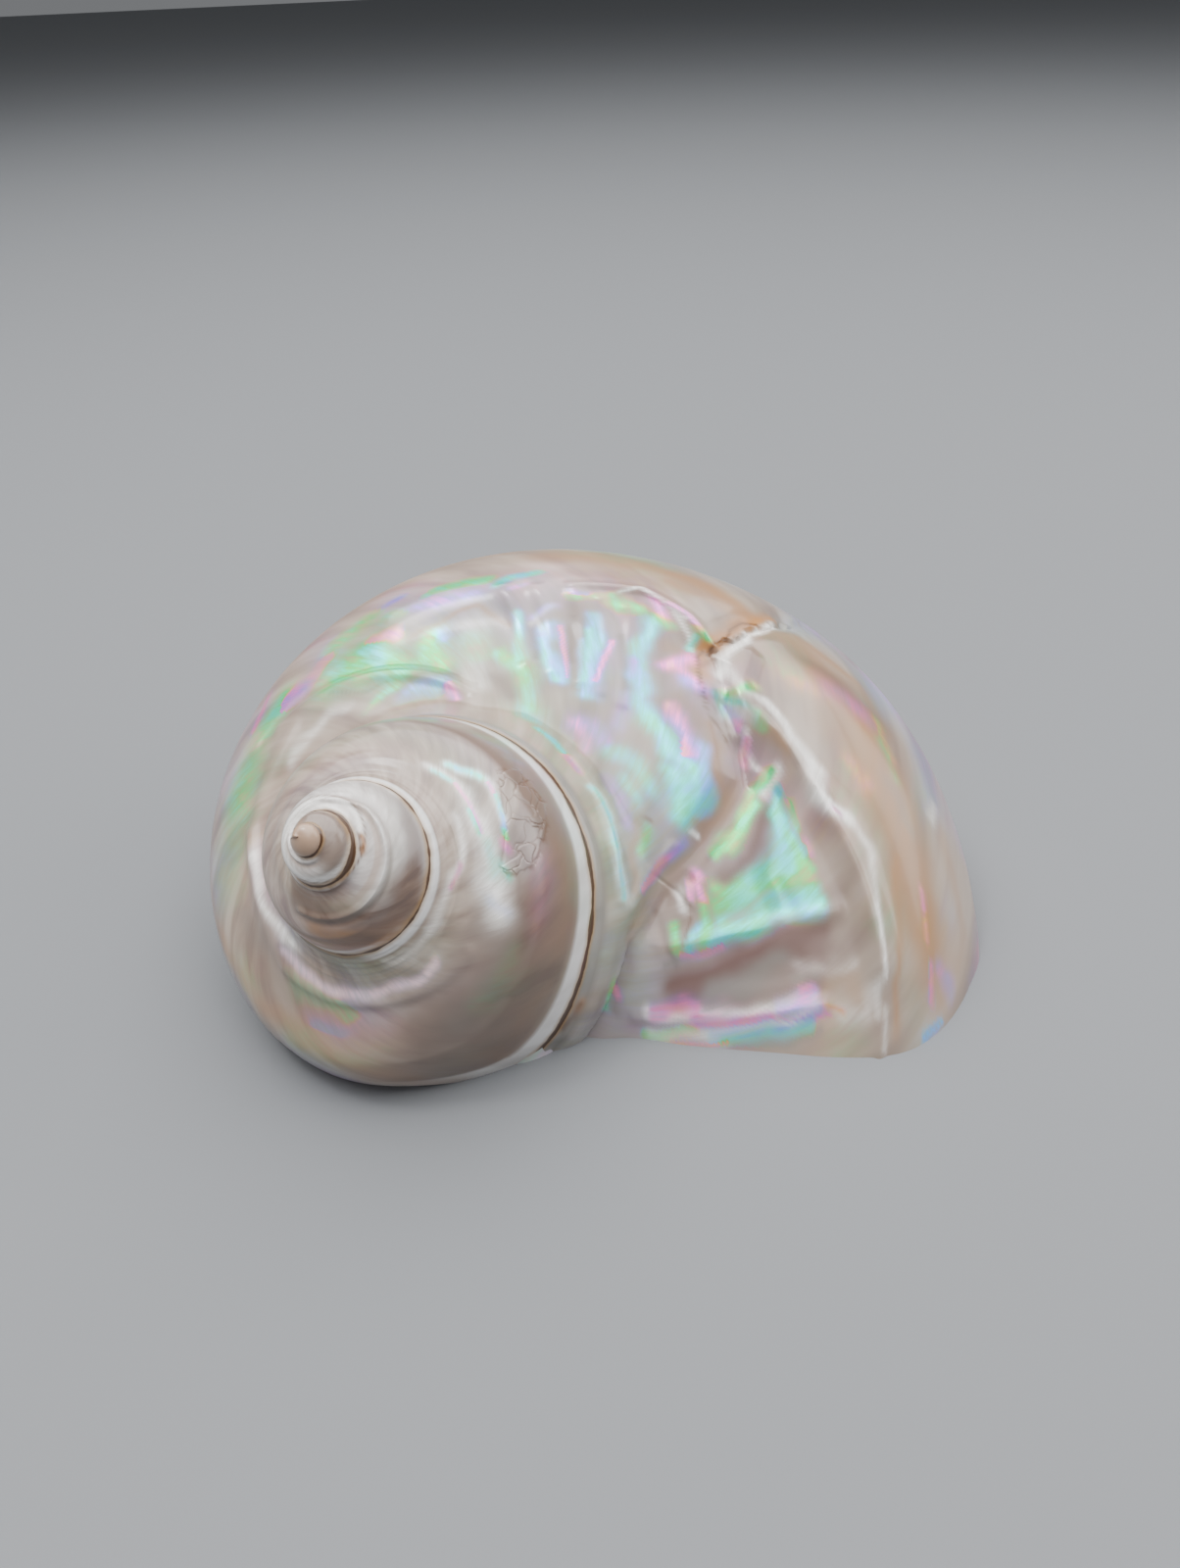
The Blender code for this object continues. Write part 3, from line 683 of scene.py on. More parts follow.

# the bright streak of painted sheen that runs down from the pleats to the furrow
RIVER_MARKS = marks(
    (AQUA, 1.4, 0.95, (662, 636), (652, 660), (648, 690)),
    (SKY, 1.6, 0.95, (650, 690), (648, 720), (668, 742)),
    (AQUA, 2.0, 1.0, (664, 738), (684, 765), (704, 790), (708, 815)),
    (AQUA, 1.8, 1.0, (690, 790), (700, 825), (696, 836)),
    (SKY, 1.4, 0.8, (716, 770), (718, 800), (712, 826)),
    (LILAC, 1.3, 0.7, (690, 735), (702, 760), (708, 775)),
    (PINK, 1.0, 0.7, (684, 722), (698, 748), (700, 768)),
    (LILAC, 0.8, 0.7, (646, 672), (642, 690)),
    (PINK, 1.3, 0.95, (684, 680), (704, 676)),
    (PINK, 1.2, 0.9, (696, 684), (704, 698)),
    (LILAC, 1.2, 0.8, (698, 700), (716, 708)),
    (PINK, 1.1, 0.95, (672, 614), (674, 630)),
    (PINK, 0.5, 0.95, (682, 613), (704, 628), (716, 640)),
    (GREEN, 0.7, 0.95, (714, 640), (722, 652)),
    (AQUA, 0.6, 0.8, (712, 652), (704, 662)),
    (GREEN, 1.1, 0.6, (668, 632), (684, 640)),
    # painted highlights along the edge of the shoulder
    (WHITE, 0.4, 0.9, (632, 601), (655, 601), (673, 610), (700, 628)),
    (WHITE, 0.4, 0.7, (690, 626), (702, 646), (706, 668)),
    (TAUPE_AND_SHADE, 0.9, 0.6, (640, 606), (660, 609), (670, 613)),
    (TAN, 1.3, 0.55, (676, 655), (690, 664)),
    (TAN, 2.0, 0.5, (690, 715), (712, 740)),
    (TAN, 0.9, 0.55, (722, 742), (730, 770), (732, 792)),
    (TAN, 2.2, 0.6, (735, 770), (730, 815), (715, 840)),
    (STAIN, 0.5, 0.55, (660, 838), (665, 842)),
    (TAN, 1.4, 0.6, (652, 845), (645, 870), (648, 900)),
    (GREEN, 0.9, 0.55, (662, 852), (658, 872)),
    (AQUA, 1.2, 0.4, (640, 800), (652, 822)),
    (AQUA, 0.75, 0.8, (603, 803), (618, 830), (627, 862)),
    (AQUA, 0.7, 0.7, (627, 862), (632, 892), (634, 916)),
    # painted highlight along the pale ridge
    (WHITE, 0.9, 0.8, (603, 803), (618, 830), (627, 862), (632, 892), (634, 916)),
    (LILAC, 1.6, 0.25, (625, 800), (640, 840)),
    (PINK, 0.7, 0.5, (692, 862), (672, 886), (658, 905)),
    (LILAC, 0.8, 0.45, (700, 858), (684, 876)),
    (WHITE, 0.5, 0.7, (708, 850), (714, 853)),
)

# the healed break, the knob at its top, the keel after it and the outer lip
BREAK_MARKS = marks(
    (ORANGE, 1.0, 0.95, (788, 634), (773, 632), (758, 636), (745, 640), (736, 648), (730, 658)),
    (ORANGE, 1.7, 1.0, (730, 658), (717, 665), (712, 674), (716, 688)),
    (STAIN, 0.3, 0.8, (773, 635), (758, 638), (745, 643), (738, 650), (732, 658), (722, 668)),
    (STAIN, 0.35, 0.7, (718, 663), (713, 672), (714, 686), (716, 700)),
    (STAIN, 0.5, 0.35, (722, 668), (728, 672), (718, 680)),
    (STAIN, 0.25, 0.6, (716, 688), (720, 722), (740, 757)),
    (WHITE, 0.9, 1.0, (790, 638), (764, 648), (747, 658), (738, 674), (733, 690)),
    (GREY_AND_SHADE, 1.0, 0.5, (740, 672), (728, 700), (736, 735)),
    (AQUA, 1.1, 0.9, (746, 706), (756, 716)),
    (GREEN, 0.8, 0.9, (743, 703), (755, 700), (768, 696)),
    (AQUA, 0.9, 0.5, (735, 712), (744, 732)),
    (WHITE, 1.6, 0.7, (745, 700), (748, 735)),
    (LILAC, 0.7, 0.5, (748, 722), (752, 738)),
    (PINK, 0.6, 0.8, (755, 736), (752, 748)),
    (PINK, 0.6, 0.85, (762, 757), (763, 783)),
    (GREEN, 0.9, 0.4, (768, 725), (772, 742)),
    (WHITE, 0.5, 0.7, (756, 745), (760, 770), (772, 782)),
    # painted highlight along the keel
    (WHITE, 1.0, 0.6, (735, 676), (752, 690), (782, 720), (804, 746)),
    (WHITE, 1.7, 1.0, (806, 750), (826, 780), (845, 812), (862, 836)),
    (WHITE, 0.8, 0.8, (812, 757), (826, 780), (845, 812), (860, 832)),
    (WHITE, 0.8, 0.8, (778, 712), (796, 733), (810, 757)),
    (PINK, 0.6, 0.5, (852, 824), (858, 832)),
    (TAN, 1.6, 0.65, (778, 748), (800, 765)),
    (TAUPE_AND_SHADE, 0.6, 0.5, (806, 765), (815, 782)),
    # painted highlights along the end of the keel and the outer lip
    (WHITE, 1.3, 0.5, (866, 838), (884, 870), (892, 900), (900, 935)),
    (WHITE, 0.6, 0.75, (898, 920), (901, 975), (902, 998)),
    (WHITE, 1.0, 0.35, (900, 1003), (894, 1035)),
    (WHITE, 0.8, 0.35, (903, 1030), (901, 1073)),
    (TAN, 1.2, 0.7, (916, 880), (915, 970), (914, 1050)),
    (TAN, 5.0, 0.6, (860, 755), (890, 800), (915, 860), (930, 930)),
    (PINK, 3.0, 0.25, (845, 705), (875, 725)),
    (PEACH, 2.4, 0.3, (805, 690), (830, 705)),
    (TAUPE_AND_SHADE, 4.0, 0.65, (800, 660), (850, 690), (890, 730)),
    (TAN, 2.0, 0.6, (820, 652), (870, 690), (900, 740)),
    (PINK, 2.4, 0.12, (890, 690), (915, 730)),
    (GREEN, 1.4, 0.2, (898, 760), (915, 800)),
    (PEACH, 1.2, 0.45, (893, 735), (912, 775)),
    (PEACH, 2.2, 0.4, (868, 780), (882, 800)),
    (WHITE, 1.0, 0.45, (948, 832), (954, 824)),
    (GREY_AND_SHADE, 1.6, 0.35, (905, 800), (930, 850)),
    (PINK, 0.8, 0.6, (939, 902), (942, 930)),
    (PEACH, 0.8, 0.6, (946, 942), (948, 962)),
    (PINK, 0.7, 0.55, (950, 985), (952, 1020)),
    (LILAC, 1.6, 0.3, (960, 985), (968, 1015)),
    # painted glint on the edge of the lip
    (SKY, 0.7, 0.85, (942, 1062), (961, 1043)),
    (TAN, 3.0, 0.35, (960, 850), (985, 950), (978, 1000)),
    (TAN, 2.4, 0.5, (560, 560), (640, 572), (720, 600)),
    (TAN, 2.0, 0.6, (690, 595), (740, 620), (757, 628)),
)

# the flat facet between the furrow and the keel
FACET_MARKS = marks(
    (WHITE, 0.9, 0.85, (789, 787), (786, 796), (776, 812)),
    (GREEN, 0.7, 1.0, (783, 786), (766, 812), (750, 840), (727, 870)),
    (GREEN, 0.9, 1.0, (772, 824), (754, 846), (742, 860)),
    (MAUVE_AND_SHADE, 1.7, 0.95, (784, 832), (770, 856), (750, 876), (738, 886)),
    (AQUA, 0.9, 1.0, (797, 808), (795, 840), (797, 868)),
    (AQUA, 1.7, 1.0, (801, 832), (806, 860), (800, 885)),
    (AQUA, 2.2, 1.0, (802, 880), (785, 900), (765, 910)),
    (GREEN, 1.6, 0.9, (815, 880), (824, 900), (800, 912)),
    (GREEN, 1.9, 0.9, (775, 906), (745, 916), (730, 926)),
    (AQUA, 1.5, 0.95, (831, 915), (800, 928), (770, 940), (740, 952)),
    (AQUA, 1.5, 1.0, (797, 868), (783, 885), (762, 896)),
    (GREEN, 1.3, 1.0, (762, 896), (742, 905), (728, 905)),
    (GREEN, 1.0, 0.95, (802, 852), (812, 876), (826, 890), (829, 902)),
    (GREEN, 0.5, 0.6, (808, 812), (813, 842)),
    (PINK, 0.7, 0.45, (824, 855), (829, 872)),
    (TAUPE_AND_SHADE, 0.9, 0.5, (820, 862), (822, 872)),
    (GREEN, 0.9, 0.5, (745, 925), (775, 912), (800, 900)),
    (AQUA, 1.2, 1.0, (828, 912), (804, 924), (780, 941)),
    (AQUA, 0.8, 1.0, (775, 941), (745, 952), (722, 960)),
    (PINK, 0.9, 0.9, (712, 892), (706, 905), (716, 922)),
    (PINK, 0.5, 0.9, (700, 902), (702, 918)),
    (WHITE, 0.8, 0.5, (689, 914), (694, 932)),
    (GREEN, 1.0, 0.9, (716, 936), (714, 958), (722, 948)),
    (AQUA, 0.8, 0.9, (710, 950), (706, 966)),
    (GREEN, 0.8, 0.85, (688, 950), (690, 966)),
    (PINK, 0.5, 0.35, (694, 978), (716, 974), (738, 966)),
    (STAIN, 0.3, 0.5, (693, 906), (702, 930), (699, 965)),
    (TAUPE_AND_SHADE, 0.7, 0.6, (672, 930), (682, 960), (690, 985)),
    # partly painted shade: the mauve bands are darker where the facet faces away from the lamps
    (MAUVE_AND_SHADE, 2.5, 1.0, (836, 950), (800, 963), (760, 979), (720, 995), (688, 1004)),
    (MAUVE_AND_SHADE, 2.2, 0.8, (832, 966), (800, 978), (760, 994), (722, 1010), (694, 1016)),
    (GREY_AND_SHADE, 0.6, 0.7, (680, 982), (712, 972), (750, 958)),
    (GREY_AND_SHADE, 2.2, 0.9, (800, 985), (770, 1004), (725, 1018)),
    (GREY_AND_SHADE, 0.9, 0.7, (830, 1000), (815, 1006)),
    (PINK, 1.0, 0.7, (668, 1028), (692, 1026), (706, 1034)),
    (PINK, 0.8, 0.7, (706, 1039), (745, 1040), (785, 1036)),
    (LILAC, 1.0, 0.6, (790, 1031), (814, 1024), (828, 1018)),
    (PINK, 0.6, 0.7, (818, 1012), (830, 1010)),
    (LILAC, 1.2, 0.5, (818, 1024), (838, 1030)),
    (PEACH, 0.5, 0.7, (846, 1028), (858, 1036)),
    (PINK, 0.35, 0.6, (712, 1044), (790, 1042), (850, 1038)),
    (GREEN, 0.9, 0.45, (658, 1052), (680, 1056), (712, 1052)),
    (SKY, 1.0, 0.45, (725, 1055), (770, 1052), (812, 1046), (832, 1043)),
    (WHITE, 1.2, 0.65, (670, 1050), (740, 1050), (800, 1044), (832, 1034)),
    (WHITE, 0.9, 0.65, (664, 1030), (740, 1038), (800, 1024), (828, 1018)),
    (AQUA, 0.8, 0.4, (740, 1060), (800, 1056), (830, 1050)),
    # painted shade along the foot, next to the floor
    (GREY_AND_SHADE, 0.9, 0.6, (750, 1068), (800, 1064), (840, 1056)),
    (PEACH, 0.3, 0.7, (671, 1071), (710, 1064), (742, 1062)),
    (TAN, 2.6, 0.35, (840, 1000), (866, 985), (878, 1020)),
    # painted highlights on a soft ridge
    (WHITE, 1.3, 0.22, (820, 990), (842, 985), (862, 975)),
    (WHITE, 1.6, 0.3, (862, 1040), (882, 1030), (892, 1010)),
    (GREEN, 0.9, 0.45, (622, 1024), (628, 1008)),
    (PINK, 0.6, 0.45, (632, 1010), (636, 1018)),
    (TAN, 1.8, 0.45, (757, 802), (720, 852), (697, 886), (662, 918), (648, 950)),
    (TAUPE_AND_SHADE, 1.2, 0.4, (648, 950), (640, 990), (632, 1030)),
    (GREY_AND_SHADE, 1.6, 0.3, (640, 950), (620, 1000), (605, 1050)),
)

# the young whorls and the whorl before the last
SPIRE_MARKS = marks(
    # painted highlights on the crest lines of the whorl before the last
    (WHITE, 0.9, 0.9, (435, 783), (458, 792), (474, 804), (490, 848)),
    (AQUA, 0.5, 0.7, (442, 786), (460, 796)),
    (PINK, 0.3, 0.85, (466, 800), (480, 820), (490, 848)),
    (AQUA, 0.4, 0.8, (480, 826), (488, 850)),
    (AQUA, 0.6, 0.8, (462, 782), (480, 787), (490, 794)),
    (WHITE, 0.8, 0.9, (462, 781), (484, 790), (504, 806), (514, 834)),
    (PINK, 0.35, 0.8, (498, 800), (507, 812)),
    (AQUA, 0.45, 0.9, (508, 812), (513, 832)),
    (SKY, 0.4, 0.9, (513, 832), (515, 846)),
    (GREEN, 0.35, 0.9, (515, 848), (517, 856)),
    (PINK, 0.6, 0.6, (514, 860), (520, 868)),
    # painted pearly highlight
    (WHITE, 1.6, 0.8, (492, 846), (500, 885), (507, 925)),
    (AQUA, 1.2, 0.4, (496, 860), (500, 880)),
    (AQUA, 0.6, 0.5, (510, 880), (518, 888)),
    (WHITE, 2.8, 0.5, (486, 836), (496, 880), (508, 925)),
    (SKY, 1.0, 0.2, (500, 912), (514, 928)),
    (WHITE, 1.0, 0.5, (462, 885), (452, 925), (440, 948)),
    (PINK, 2.0, 0.08, (553, 880), (550, 940)),
    (GREEN, 2.4, 0.05, (525, 985), (507, 1012), (496, 1020)),
    # partly painted shade on the lower part of the whorl before the last
    (TAUPE_AND_SHADE, 3.0, 0.6, (535, 930), (515, 985), (480, 1030), (430, 1060)),
    (TAN, 1.5, 0.55, (570, 870), (572, 930), (562, 985), (536, 1040), (498, 1078)),
    (GREY_AND_SHADE, 4.0, 0.45, (500, 950), (500, 1000), (460, 1050)),
    (WHITE, 1.3, 0.4, (400, 985), (425, 970), (445, 950)),
    # painted shade: a darker crescent on the right of the young whorl
    (TAUPE_AND_SHADE, 1.8, 0.65, (410, 815), (422, 845), (428, 885), (420, 925)),
    (WHITE, 0.35, 0.85, (352, 838), (360, 856), (358, 880), (346, 892), (326, 897)),
    (GREY_AND_SHADE, 2.2, 0.5, (525, 850), (545, 880), (540, 845)),
    (TAUPE_AND_SHADE, 0.5, 0.4, (527, 880), (530, 920)),
    (WHITE, 0.6, 0.7, (466, 832), (470, 860), (464, 890)),
    (PINK, 0.4, 0.6, (468, 880), (460, 905)),
    (TAN, 2.4, 0.9, (424, 912), (405, 942), (370, 957), (325, 950)),
    # painted shade on the lower part of the young whorl
    (TAUPE_AND_SHADE, 2.4, 0.4, (330, 925), (370, 932), (405, 915)),
    (ORANGE, 0.55, 0.9, (368, 854), (371, 862), (369, 870)),
    (STAIN, 0.4, 0.85, (366, 852), (367, 868)),
    (STAIN, 0.3, 0.4, (370, 866), (371, 868)),
    (STAIN, 0.15, 0.8, (351, 890), (354, 893)),
    (ORANGE, 1.0, 0.5, (594, 1020), (587, 1034)),
    (STAIN, 0.7, 0.6, (590, 1026), (583, 1042), (575, 1052)),
)


@dataclass(frozen=True)
class Colouring:
    """Turns the marks, and the bands that follow the whorls, into amounts at each place."""

    growth: Growth
    relief: Relief
    camera: PhotoCamera
    marks: tuple[Mark, ...] = (
        WASHES + LEFT_MARKS + FOLD_MARKS + RIVER_MARKS + BREAK_MARKS + FACET_MARKS + SPIRE_MARKS)
    older: Span = (-4.483, -0.5)  # from the whorl before the last back to the tip
    young: Span = (-11.2, -0.5)  # the whorls before that one
    first: Span = (-17.2, -0.8)  # the smallest whorls
    tip: Span = (-20.6, -0.6)
    grown_out: Span = (-5.2, 0.8)
    line_ends: tuple[float, float, float] = (-22.5, -5.082, 2.0)  # tip, start of the open wall, mouth
    pixel_reach: float = 4.0
    same_depth: float = 4.0 * MM
    warps: tuple[Place, ...] = ((6.0 * MM, 2.0 * MM), (2.2 * MM, 0.5 * MM))  # size and reach
    full_warp_width: float = 1.2 * MM
    most_girth: Place = (0.06, 0.25)  # more metres for a radian and a section than GIRTH
    sheen_patch: tuple[float, float, float] = (11.0 * MM, 0.12, 0.12)  # size, amount, more behind
    sheen_order: tuple[float, float] = (3.1, 0.23)  # orders of colour for a section and for a radian
    crack_stain: float = 0.55

    def seen_places(self, turns: np.ndarray, shares: np.ndarray, points: np.ndarray) -> list[list[Place]]:
        """Finds where on the shell each mark lies.

        Args:
            turns: Turn angles of a grid of places.
            shares: Shares of the same grid.
            points: Their points in space, as rows of turns and columns of shares.

        Returns:
            For each mark the places under its pixels.
        """
        toward = (grid_normals(points) * (np.asarray(self.camera.position) - points)).sum(-1)
        seen = (toward > 0.0) & (points[..., 2] > -0.5 * MM)
        turn, share = np.broadcast_arrays(turns[:, None], shares[None, :])
        turn, share = turn[seen], share[seen]
        pixel, depth = self.camera.project(points[seen])
        found = []
        for mark in self.marks:
            line = []
            for spot in mark.path:
                far = np.hypot(pixel[:, 0] - spot[0], pixel[:, 1] - spot[1])
                near = far < max(self.pixel_reach, float(far.min()) + 0.5)
                front = depth < depth[near].min() + self.same_depth
                best = int(np.argmin(np.where(near & front, far, np.inf)))
                line.append((float(turn[best]), float(share[best])))
            found.append(line)
        return found

    def bands(self, turn: np.ndarray, share: np.ndarray) -> dict[Tone, np.ndarray]:
        """The bands of plain colour round the whorls. Where two of a tone meet, the fuller counts."""

        def between(low: float, high: float, ease: float = 0.012) -> np.ndarray:
            """Is 1 where the share of the section is between the two, with soft edges."""
            return smooth((share - low) / ease + 0.5) * smooth((high - share) / ease + 0.5)

        older, young = rise(turn, *self.older), rise(turn, *self.young)
        first, tip = rise(turn, *self.first), rise(turn, *self.tip)
        last, middle, small = 1.0 - older, older * (1.0 - young), young * (1.0 - first)
        from_ring = share - np.interp(turn, *np.array(self.relief.ring).T)
        bands = (
            # pale beside the sutures and on the ring, and all the smallest whorls
            (Tone.PORCELAIN, 0.3 * between(-0.1, 0.011, 0.006) * last * rise(turn, -3.4, 0.6)),
            (Tone.PORCELAIN, between(-0.1, 0.03) * middle),
            (Tone.PORCELAIN, between(0.453, 0.6, 0.008) * older),
            (Tone.PORCELAIN, young * (0.55 - 0.5 * first)),
            (Tone.PORCELAIN, 0.9 * small * bump(from_ring / 0.011)),
            # warm and dull above the lower suture, on the tip and under the ring
            (Tone.TAN, 0.3 * between(0.35, 0.453, 0.02) * middle * rise(turn, -4.9, -0.3)),
            (Tone.TAN, 0.75 * between(0.36, 0.44) * young * bump((turn + 11.5) / 0.75)),
            (Tone.TAN, 0.35 * between(0.15, 0.2) * small),
            # partly painted shade: the taupe above the lower suture is darker where the side faces away from
            # the light
            (Tone.TAUPE_AND_SHADE, 0.75 * between(0.345, 0.453, 0.02) * middle),
            (Tone.TAUPE_AND_SHADE, 0.62 * first * (1.0 - 0.75 * tip)),
            (Tone.TAUPE_AND_SHADE, 0.5 * small * bump((from_ring - 0.034) / 0.016)),
            (Tone.GREY_AND_SHADE, 0.8 * between(-0.1, 0.016, 0.008) * last),
            (Tone.ORANGE, 0.34 * tip))
        fullest = {}
        for tone, band in bands:
            fullest[tone] = np.maximum(fullest.get(tone, 0.0), band)
        fullest[Tone.PORCELAIN] *= 1.0 - 0.6 * tip
        return fullest

    def wander(self, turn: np.ndarray, share: np.ndarray) -> tuple[np.ndarray, np.ndarray]:
        """How far the edges of the marks stray at each place, as turn and as share."""
        shift = np.zeros(turn.shape + (3,))
        points = self.growth.surface(turn, share)
        for size, reach in self.warps:
            shift += reach * np.array([noise.noise_vector(Vector(point) / size) for point in points])
        per_turn, per_share = self.growth.metric(turn, share)
        return shift[:, 0] / per_turn, shift[:, 1] / per_share

    def sheen_amount(self, turn: np.ndarray, share: np.ndarray) -> np.ndarray:
        """Painted sheen: the faint gleam that nacre has everywhere, painted in drifts, and hardly on the
        young whorls.
        """
        size, most, more_behind = self.sheen_patch
        drifts = np.array([noise.noise(Vector(point) / size) for point in self.growth.surface(turn, share)])
        grown = 0.3 + 0.7 * rise(turn, *self.grown_out)
        return (most + more_behind * rise(share, 0.4, 0.1)) * grown * smooth(0.45 + 1.1 * drifts)

    def from_seam(self, turn: np.ndarray, share: np.ndarray) -> np.ndarray:
        """How far each place is from the nearest seam, in millimetres, and more where it shows less."""
        seam = self.growth.next_suture
        to_seam = np.minimum(share, abs(share - seam)) * self.growth.metric(turn, share)[1]
        upper = share < 0.5 * seam
        later = np.where(upper, turn, turn + TURN)
        faint = (0.22 * bump((later + 3.6) / 1.1) + 0.17 * rise(later, -4.5, -1.0) * rise(later, -11.8, 0.6)
                 + 0.25 * rise(later, -19.2, -0.5) + 2.0 * rise(later, -21.0, -0.4))
        tip_end, wall_end, mouth_end = self.line_ends
        open_end = (share > seam * 1.001) | (turn < tip_end) | (turn > mouth_end)
        return to_seam / MM + faint + 9.0 * open_end + 9.0 * (~upper & (turn > wall_end))

    def amounts(self, turn: np.ndarray, share: np.ndarray,
                places: list[list[Place]]) -> dict[str, np.ndarray]:
        """Works out the colour amounts.

        Args:
            turn: Turn angles of the places.
            share: Shares of the section of the places.
            places: The places of each mark.

        Returns:
            One array for each named attribute of the mesh.
        """
        outside = turn > 0.9 * INNER_PLACE[0]
        shift_turn, shift_share = self.wander(turn, share)
        per_turn, per_share = self.growth.metric(turn, share)
        amount = {tone: np.zeros(turn.shape) for tone in Tone}
        for tone, band in self.bands(turn, share).items():
            amount[tone] = np.where(outside, band, 0.0)

        def lay(mark: Mark, line: list[Place]) -> tuple[np.ndarray, np.ndarray]:
            """Adds a mark to its tone, and says which places it reaches and how much of it lies there."""
            width = mark.width_mm * MM
            mean = np.mean(line, axis=0)
            half = max(math.hypot(*((np.array(place) - mean) * self.most_girth)) for place in line)
            off = np.hypot(per_turn * (turn - mean[0]), per_share * (share - mean[1]))
            near = outside & (off < 3.0 * width + half)
            warp = min(1.0, width / self.full_warp_width)
            far = self.growth.distance(turn[near] + warp * shift_turn[near],
                                       share[near] + warp * shift_share[near], line)
            laid = mark.amount * bump(far / width)
            old = amount[mark.tone][near]
            amount[mark.tone][near] = old + (1.0 - old) * laid
            return near, laid

        strokes = list(zip(self.marks, places))
        for mark, line in strokes:
            if mark.tone is not Tone.GLOW:
                lay(mark, line)
        plain = np.max([amount[tone] for tone in Tone if tone is not Tone.GLOW], axis=0)
        # painted sheen: a faint gleam of colour, less where other tones lie
        sheen = np.where(outside, self.sheen_amount(turn, share) * (1.0 - plain), 0.0)
        amount[Tone.GLOW] = sheen
        start = TURN * (self.sheen_order[0] * share + self.sheen_order[1] * turn)
        wave = sheen[:, None] * np.stack([np.cos(start), np.sin(start)], -1)
        for mark, line in strokes:
            if mark.tone is Tone.GLOW:
                near, laid = lay(mark, line)
                hue = np.array([math.cos(TURN * mark.hue.value), math.sin(TURN * mark.hue.value)])
                wave[near] = wave[near] * (1.0 - laid[:, None]) + laid[:, None] * hue
        angle = np.arctan2(wave[..., 1], wave[..., 0])
        cracks = self.relief.flakes(turn, share)[1]
        amount[Tone.STAIN] = np.maximum(amount[Tone.STAIN], self.crack_stain * cracks)
        result = {tone.value: values for tone, values in amount.items()}
        return result | {"wave_cos": np.cos(angle), "wave_sin": np.sin(angle)}


def add_node(tree: Tree, kind: str, inputs: dict | None = None, **settings: object) -> bpy.types.Node:
    """Adds a node to a tree.

    Args:
        tree: The material's or the geometry's node tree.
        kind: The node's type.
        inputs: Input names or indices, each with a value or with a socket to link.
        settings: The node's own properties.

    Returns:
        The node.
    """
    node = tree.nodes.new(kind)
    for name, value in settings.items():
        setattr(node, name, value)
    for key, value in (inputs or {}).items():
        if isinstance(value, Socket):
            tree.links.new(value, node.inputs[key])
        else:
            node.inputs[key].default_value = value
    return node


def calculate(tree: Tree, operation: str, *values: object, **settings: object) -> Socket:
    """The result of a math node."""
    node = add_node(tree, "ShaderNodeMath", dict(enumerate(values)), operation=operation, **settings)
    return node.outputs[0]


def combine_vectors(tree: Tree, operation: str, *values: object) -> Socket:
    """The result of a vector math node. A number counts as three equal ones."""
    return add_node(tree, "ShaderNodeVectorMath", dict(enumerate(values)), operation=operation).outputs[0]


def remap(tree: Tree, value: Socket, given: Span, wanted: Span, kind: str = "LINEAR") -> Socket:
    """A value moved from one range into another and kept inside it."""
    numbers = dict(enumerate((value, *given, *wanted)))
    return add_node(tree, "ShaderNodeMapRange", numbers, interpolation_type=kind).outputs[0]


def stored(tree: Tree, name: str) -> Socket:
    """An amount that is stored on the mesh."""
    return add_node(tree, "ShaderNodeAttribute", attribute_name=name).outputs["Fac"]


def object_place(tree: Tree) -> Socket:
    """The place in the piece's own space, in metres."""
    return add_node(tree, "ShaderNodeTexCoord").outputs["Object"]


def cloudy(tree: Tree, place: Socket, scale: float, detail: float, roughness: float = 0.5,
           distortion: float = 0.0) -> Socket:
    """The value of a noise texture."""
    return add_node(tree, "ShaderNodeTexNoise", {
        "Vector": place, "Scale": scale, "Detail": detail, "Roughness": roughness,
        "Distortion": distortion}).outputs[0]


def ramp(tree: Tree, value: Socket, stops: Stops) -> Socket:
    """The colour that a ramp gives a value."""
    node = add_node(tree, "ShaderNodeValToRGB", {0: value})
    elements = node.color_ramp.elements
    for element, (position, hex_colour) in zip(elements, (stops[0], stops[-1])):
        element.position = position
        element.color = linear(hex_colour)
    for position, hex_colour in stops[1:-1]:
        elements.new(position).color = linear(hex_colour)
    return node.outputs[0]


def mixed(tree: Tree, below: Socket, above: object, share: Socket) -> Socket:
    """One colour over another."""
    return add_node(tree, "ShaderNodeMix", {0: share, 6: below, 7: above}, data_type="RGBA").outputs[2]


@dataclass(frozen=True)
class Finish:
    """What all the materials have in common."""

    name: str
    roughness: float
    coat: float = 0.0

    def start(self) -> tuple[Material, bpy.types.Node]:
        """A new material of this name, and its shader."""
        material = bpy.data.materials.new(self.name)
        material.use_nodes = True
        shader = material.node_tree.nodes["Principled BSDF"]
        shader.inputs["Roughness"].default_value = self.roughness
        shader.inputs["Coat Weight"].default_value = self.coat
        return material, shader


@dataclass(frozen=True)
class Grain:
    """A noise that is drawn out along the growth lines."""

    size_mm: float
    stretch: float
    detail: float
    roughness: float
    distortion: float

    def value(self, tree: Tree, place: Socket) -> Socket:
        """Its value at a place of the lattice."""
        size = self.size_mm * MM
        scale = (GIRTH.x / size, GIRTH.y / (size * self.stretch), 1.0)
        drawn = combine_vectors(tree, "MULTIPLY", place, scale)
        return cloudy(tree, drawn, 1.0, self.detail, self.roughness, self.distortion)


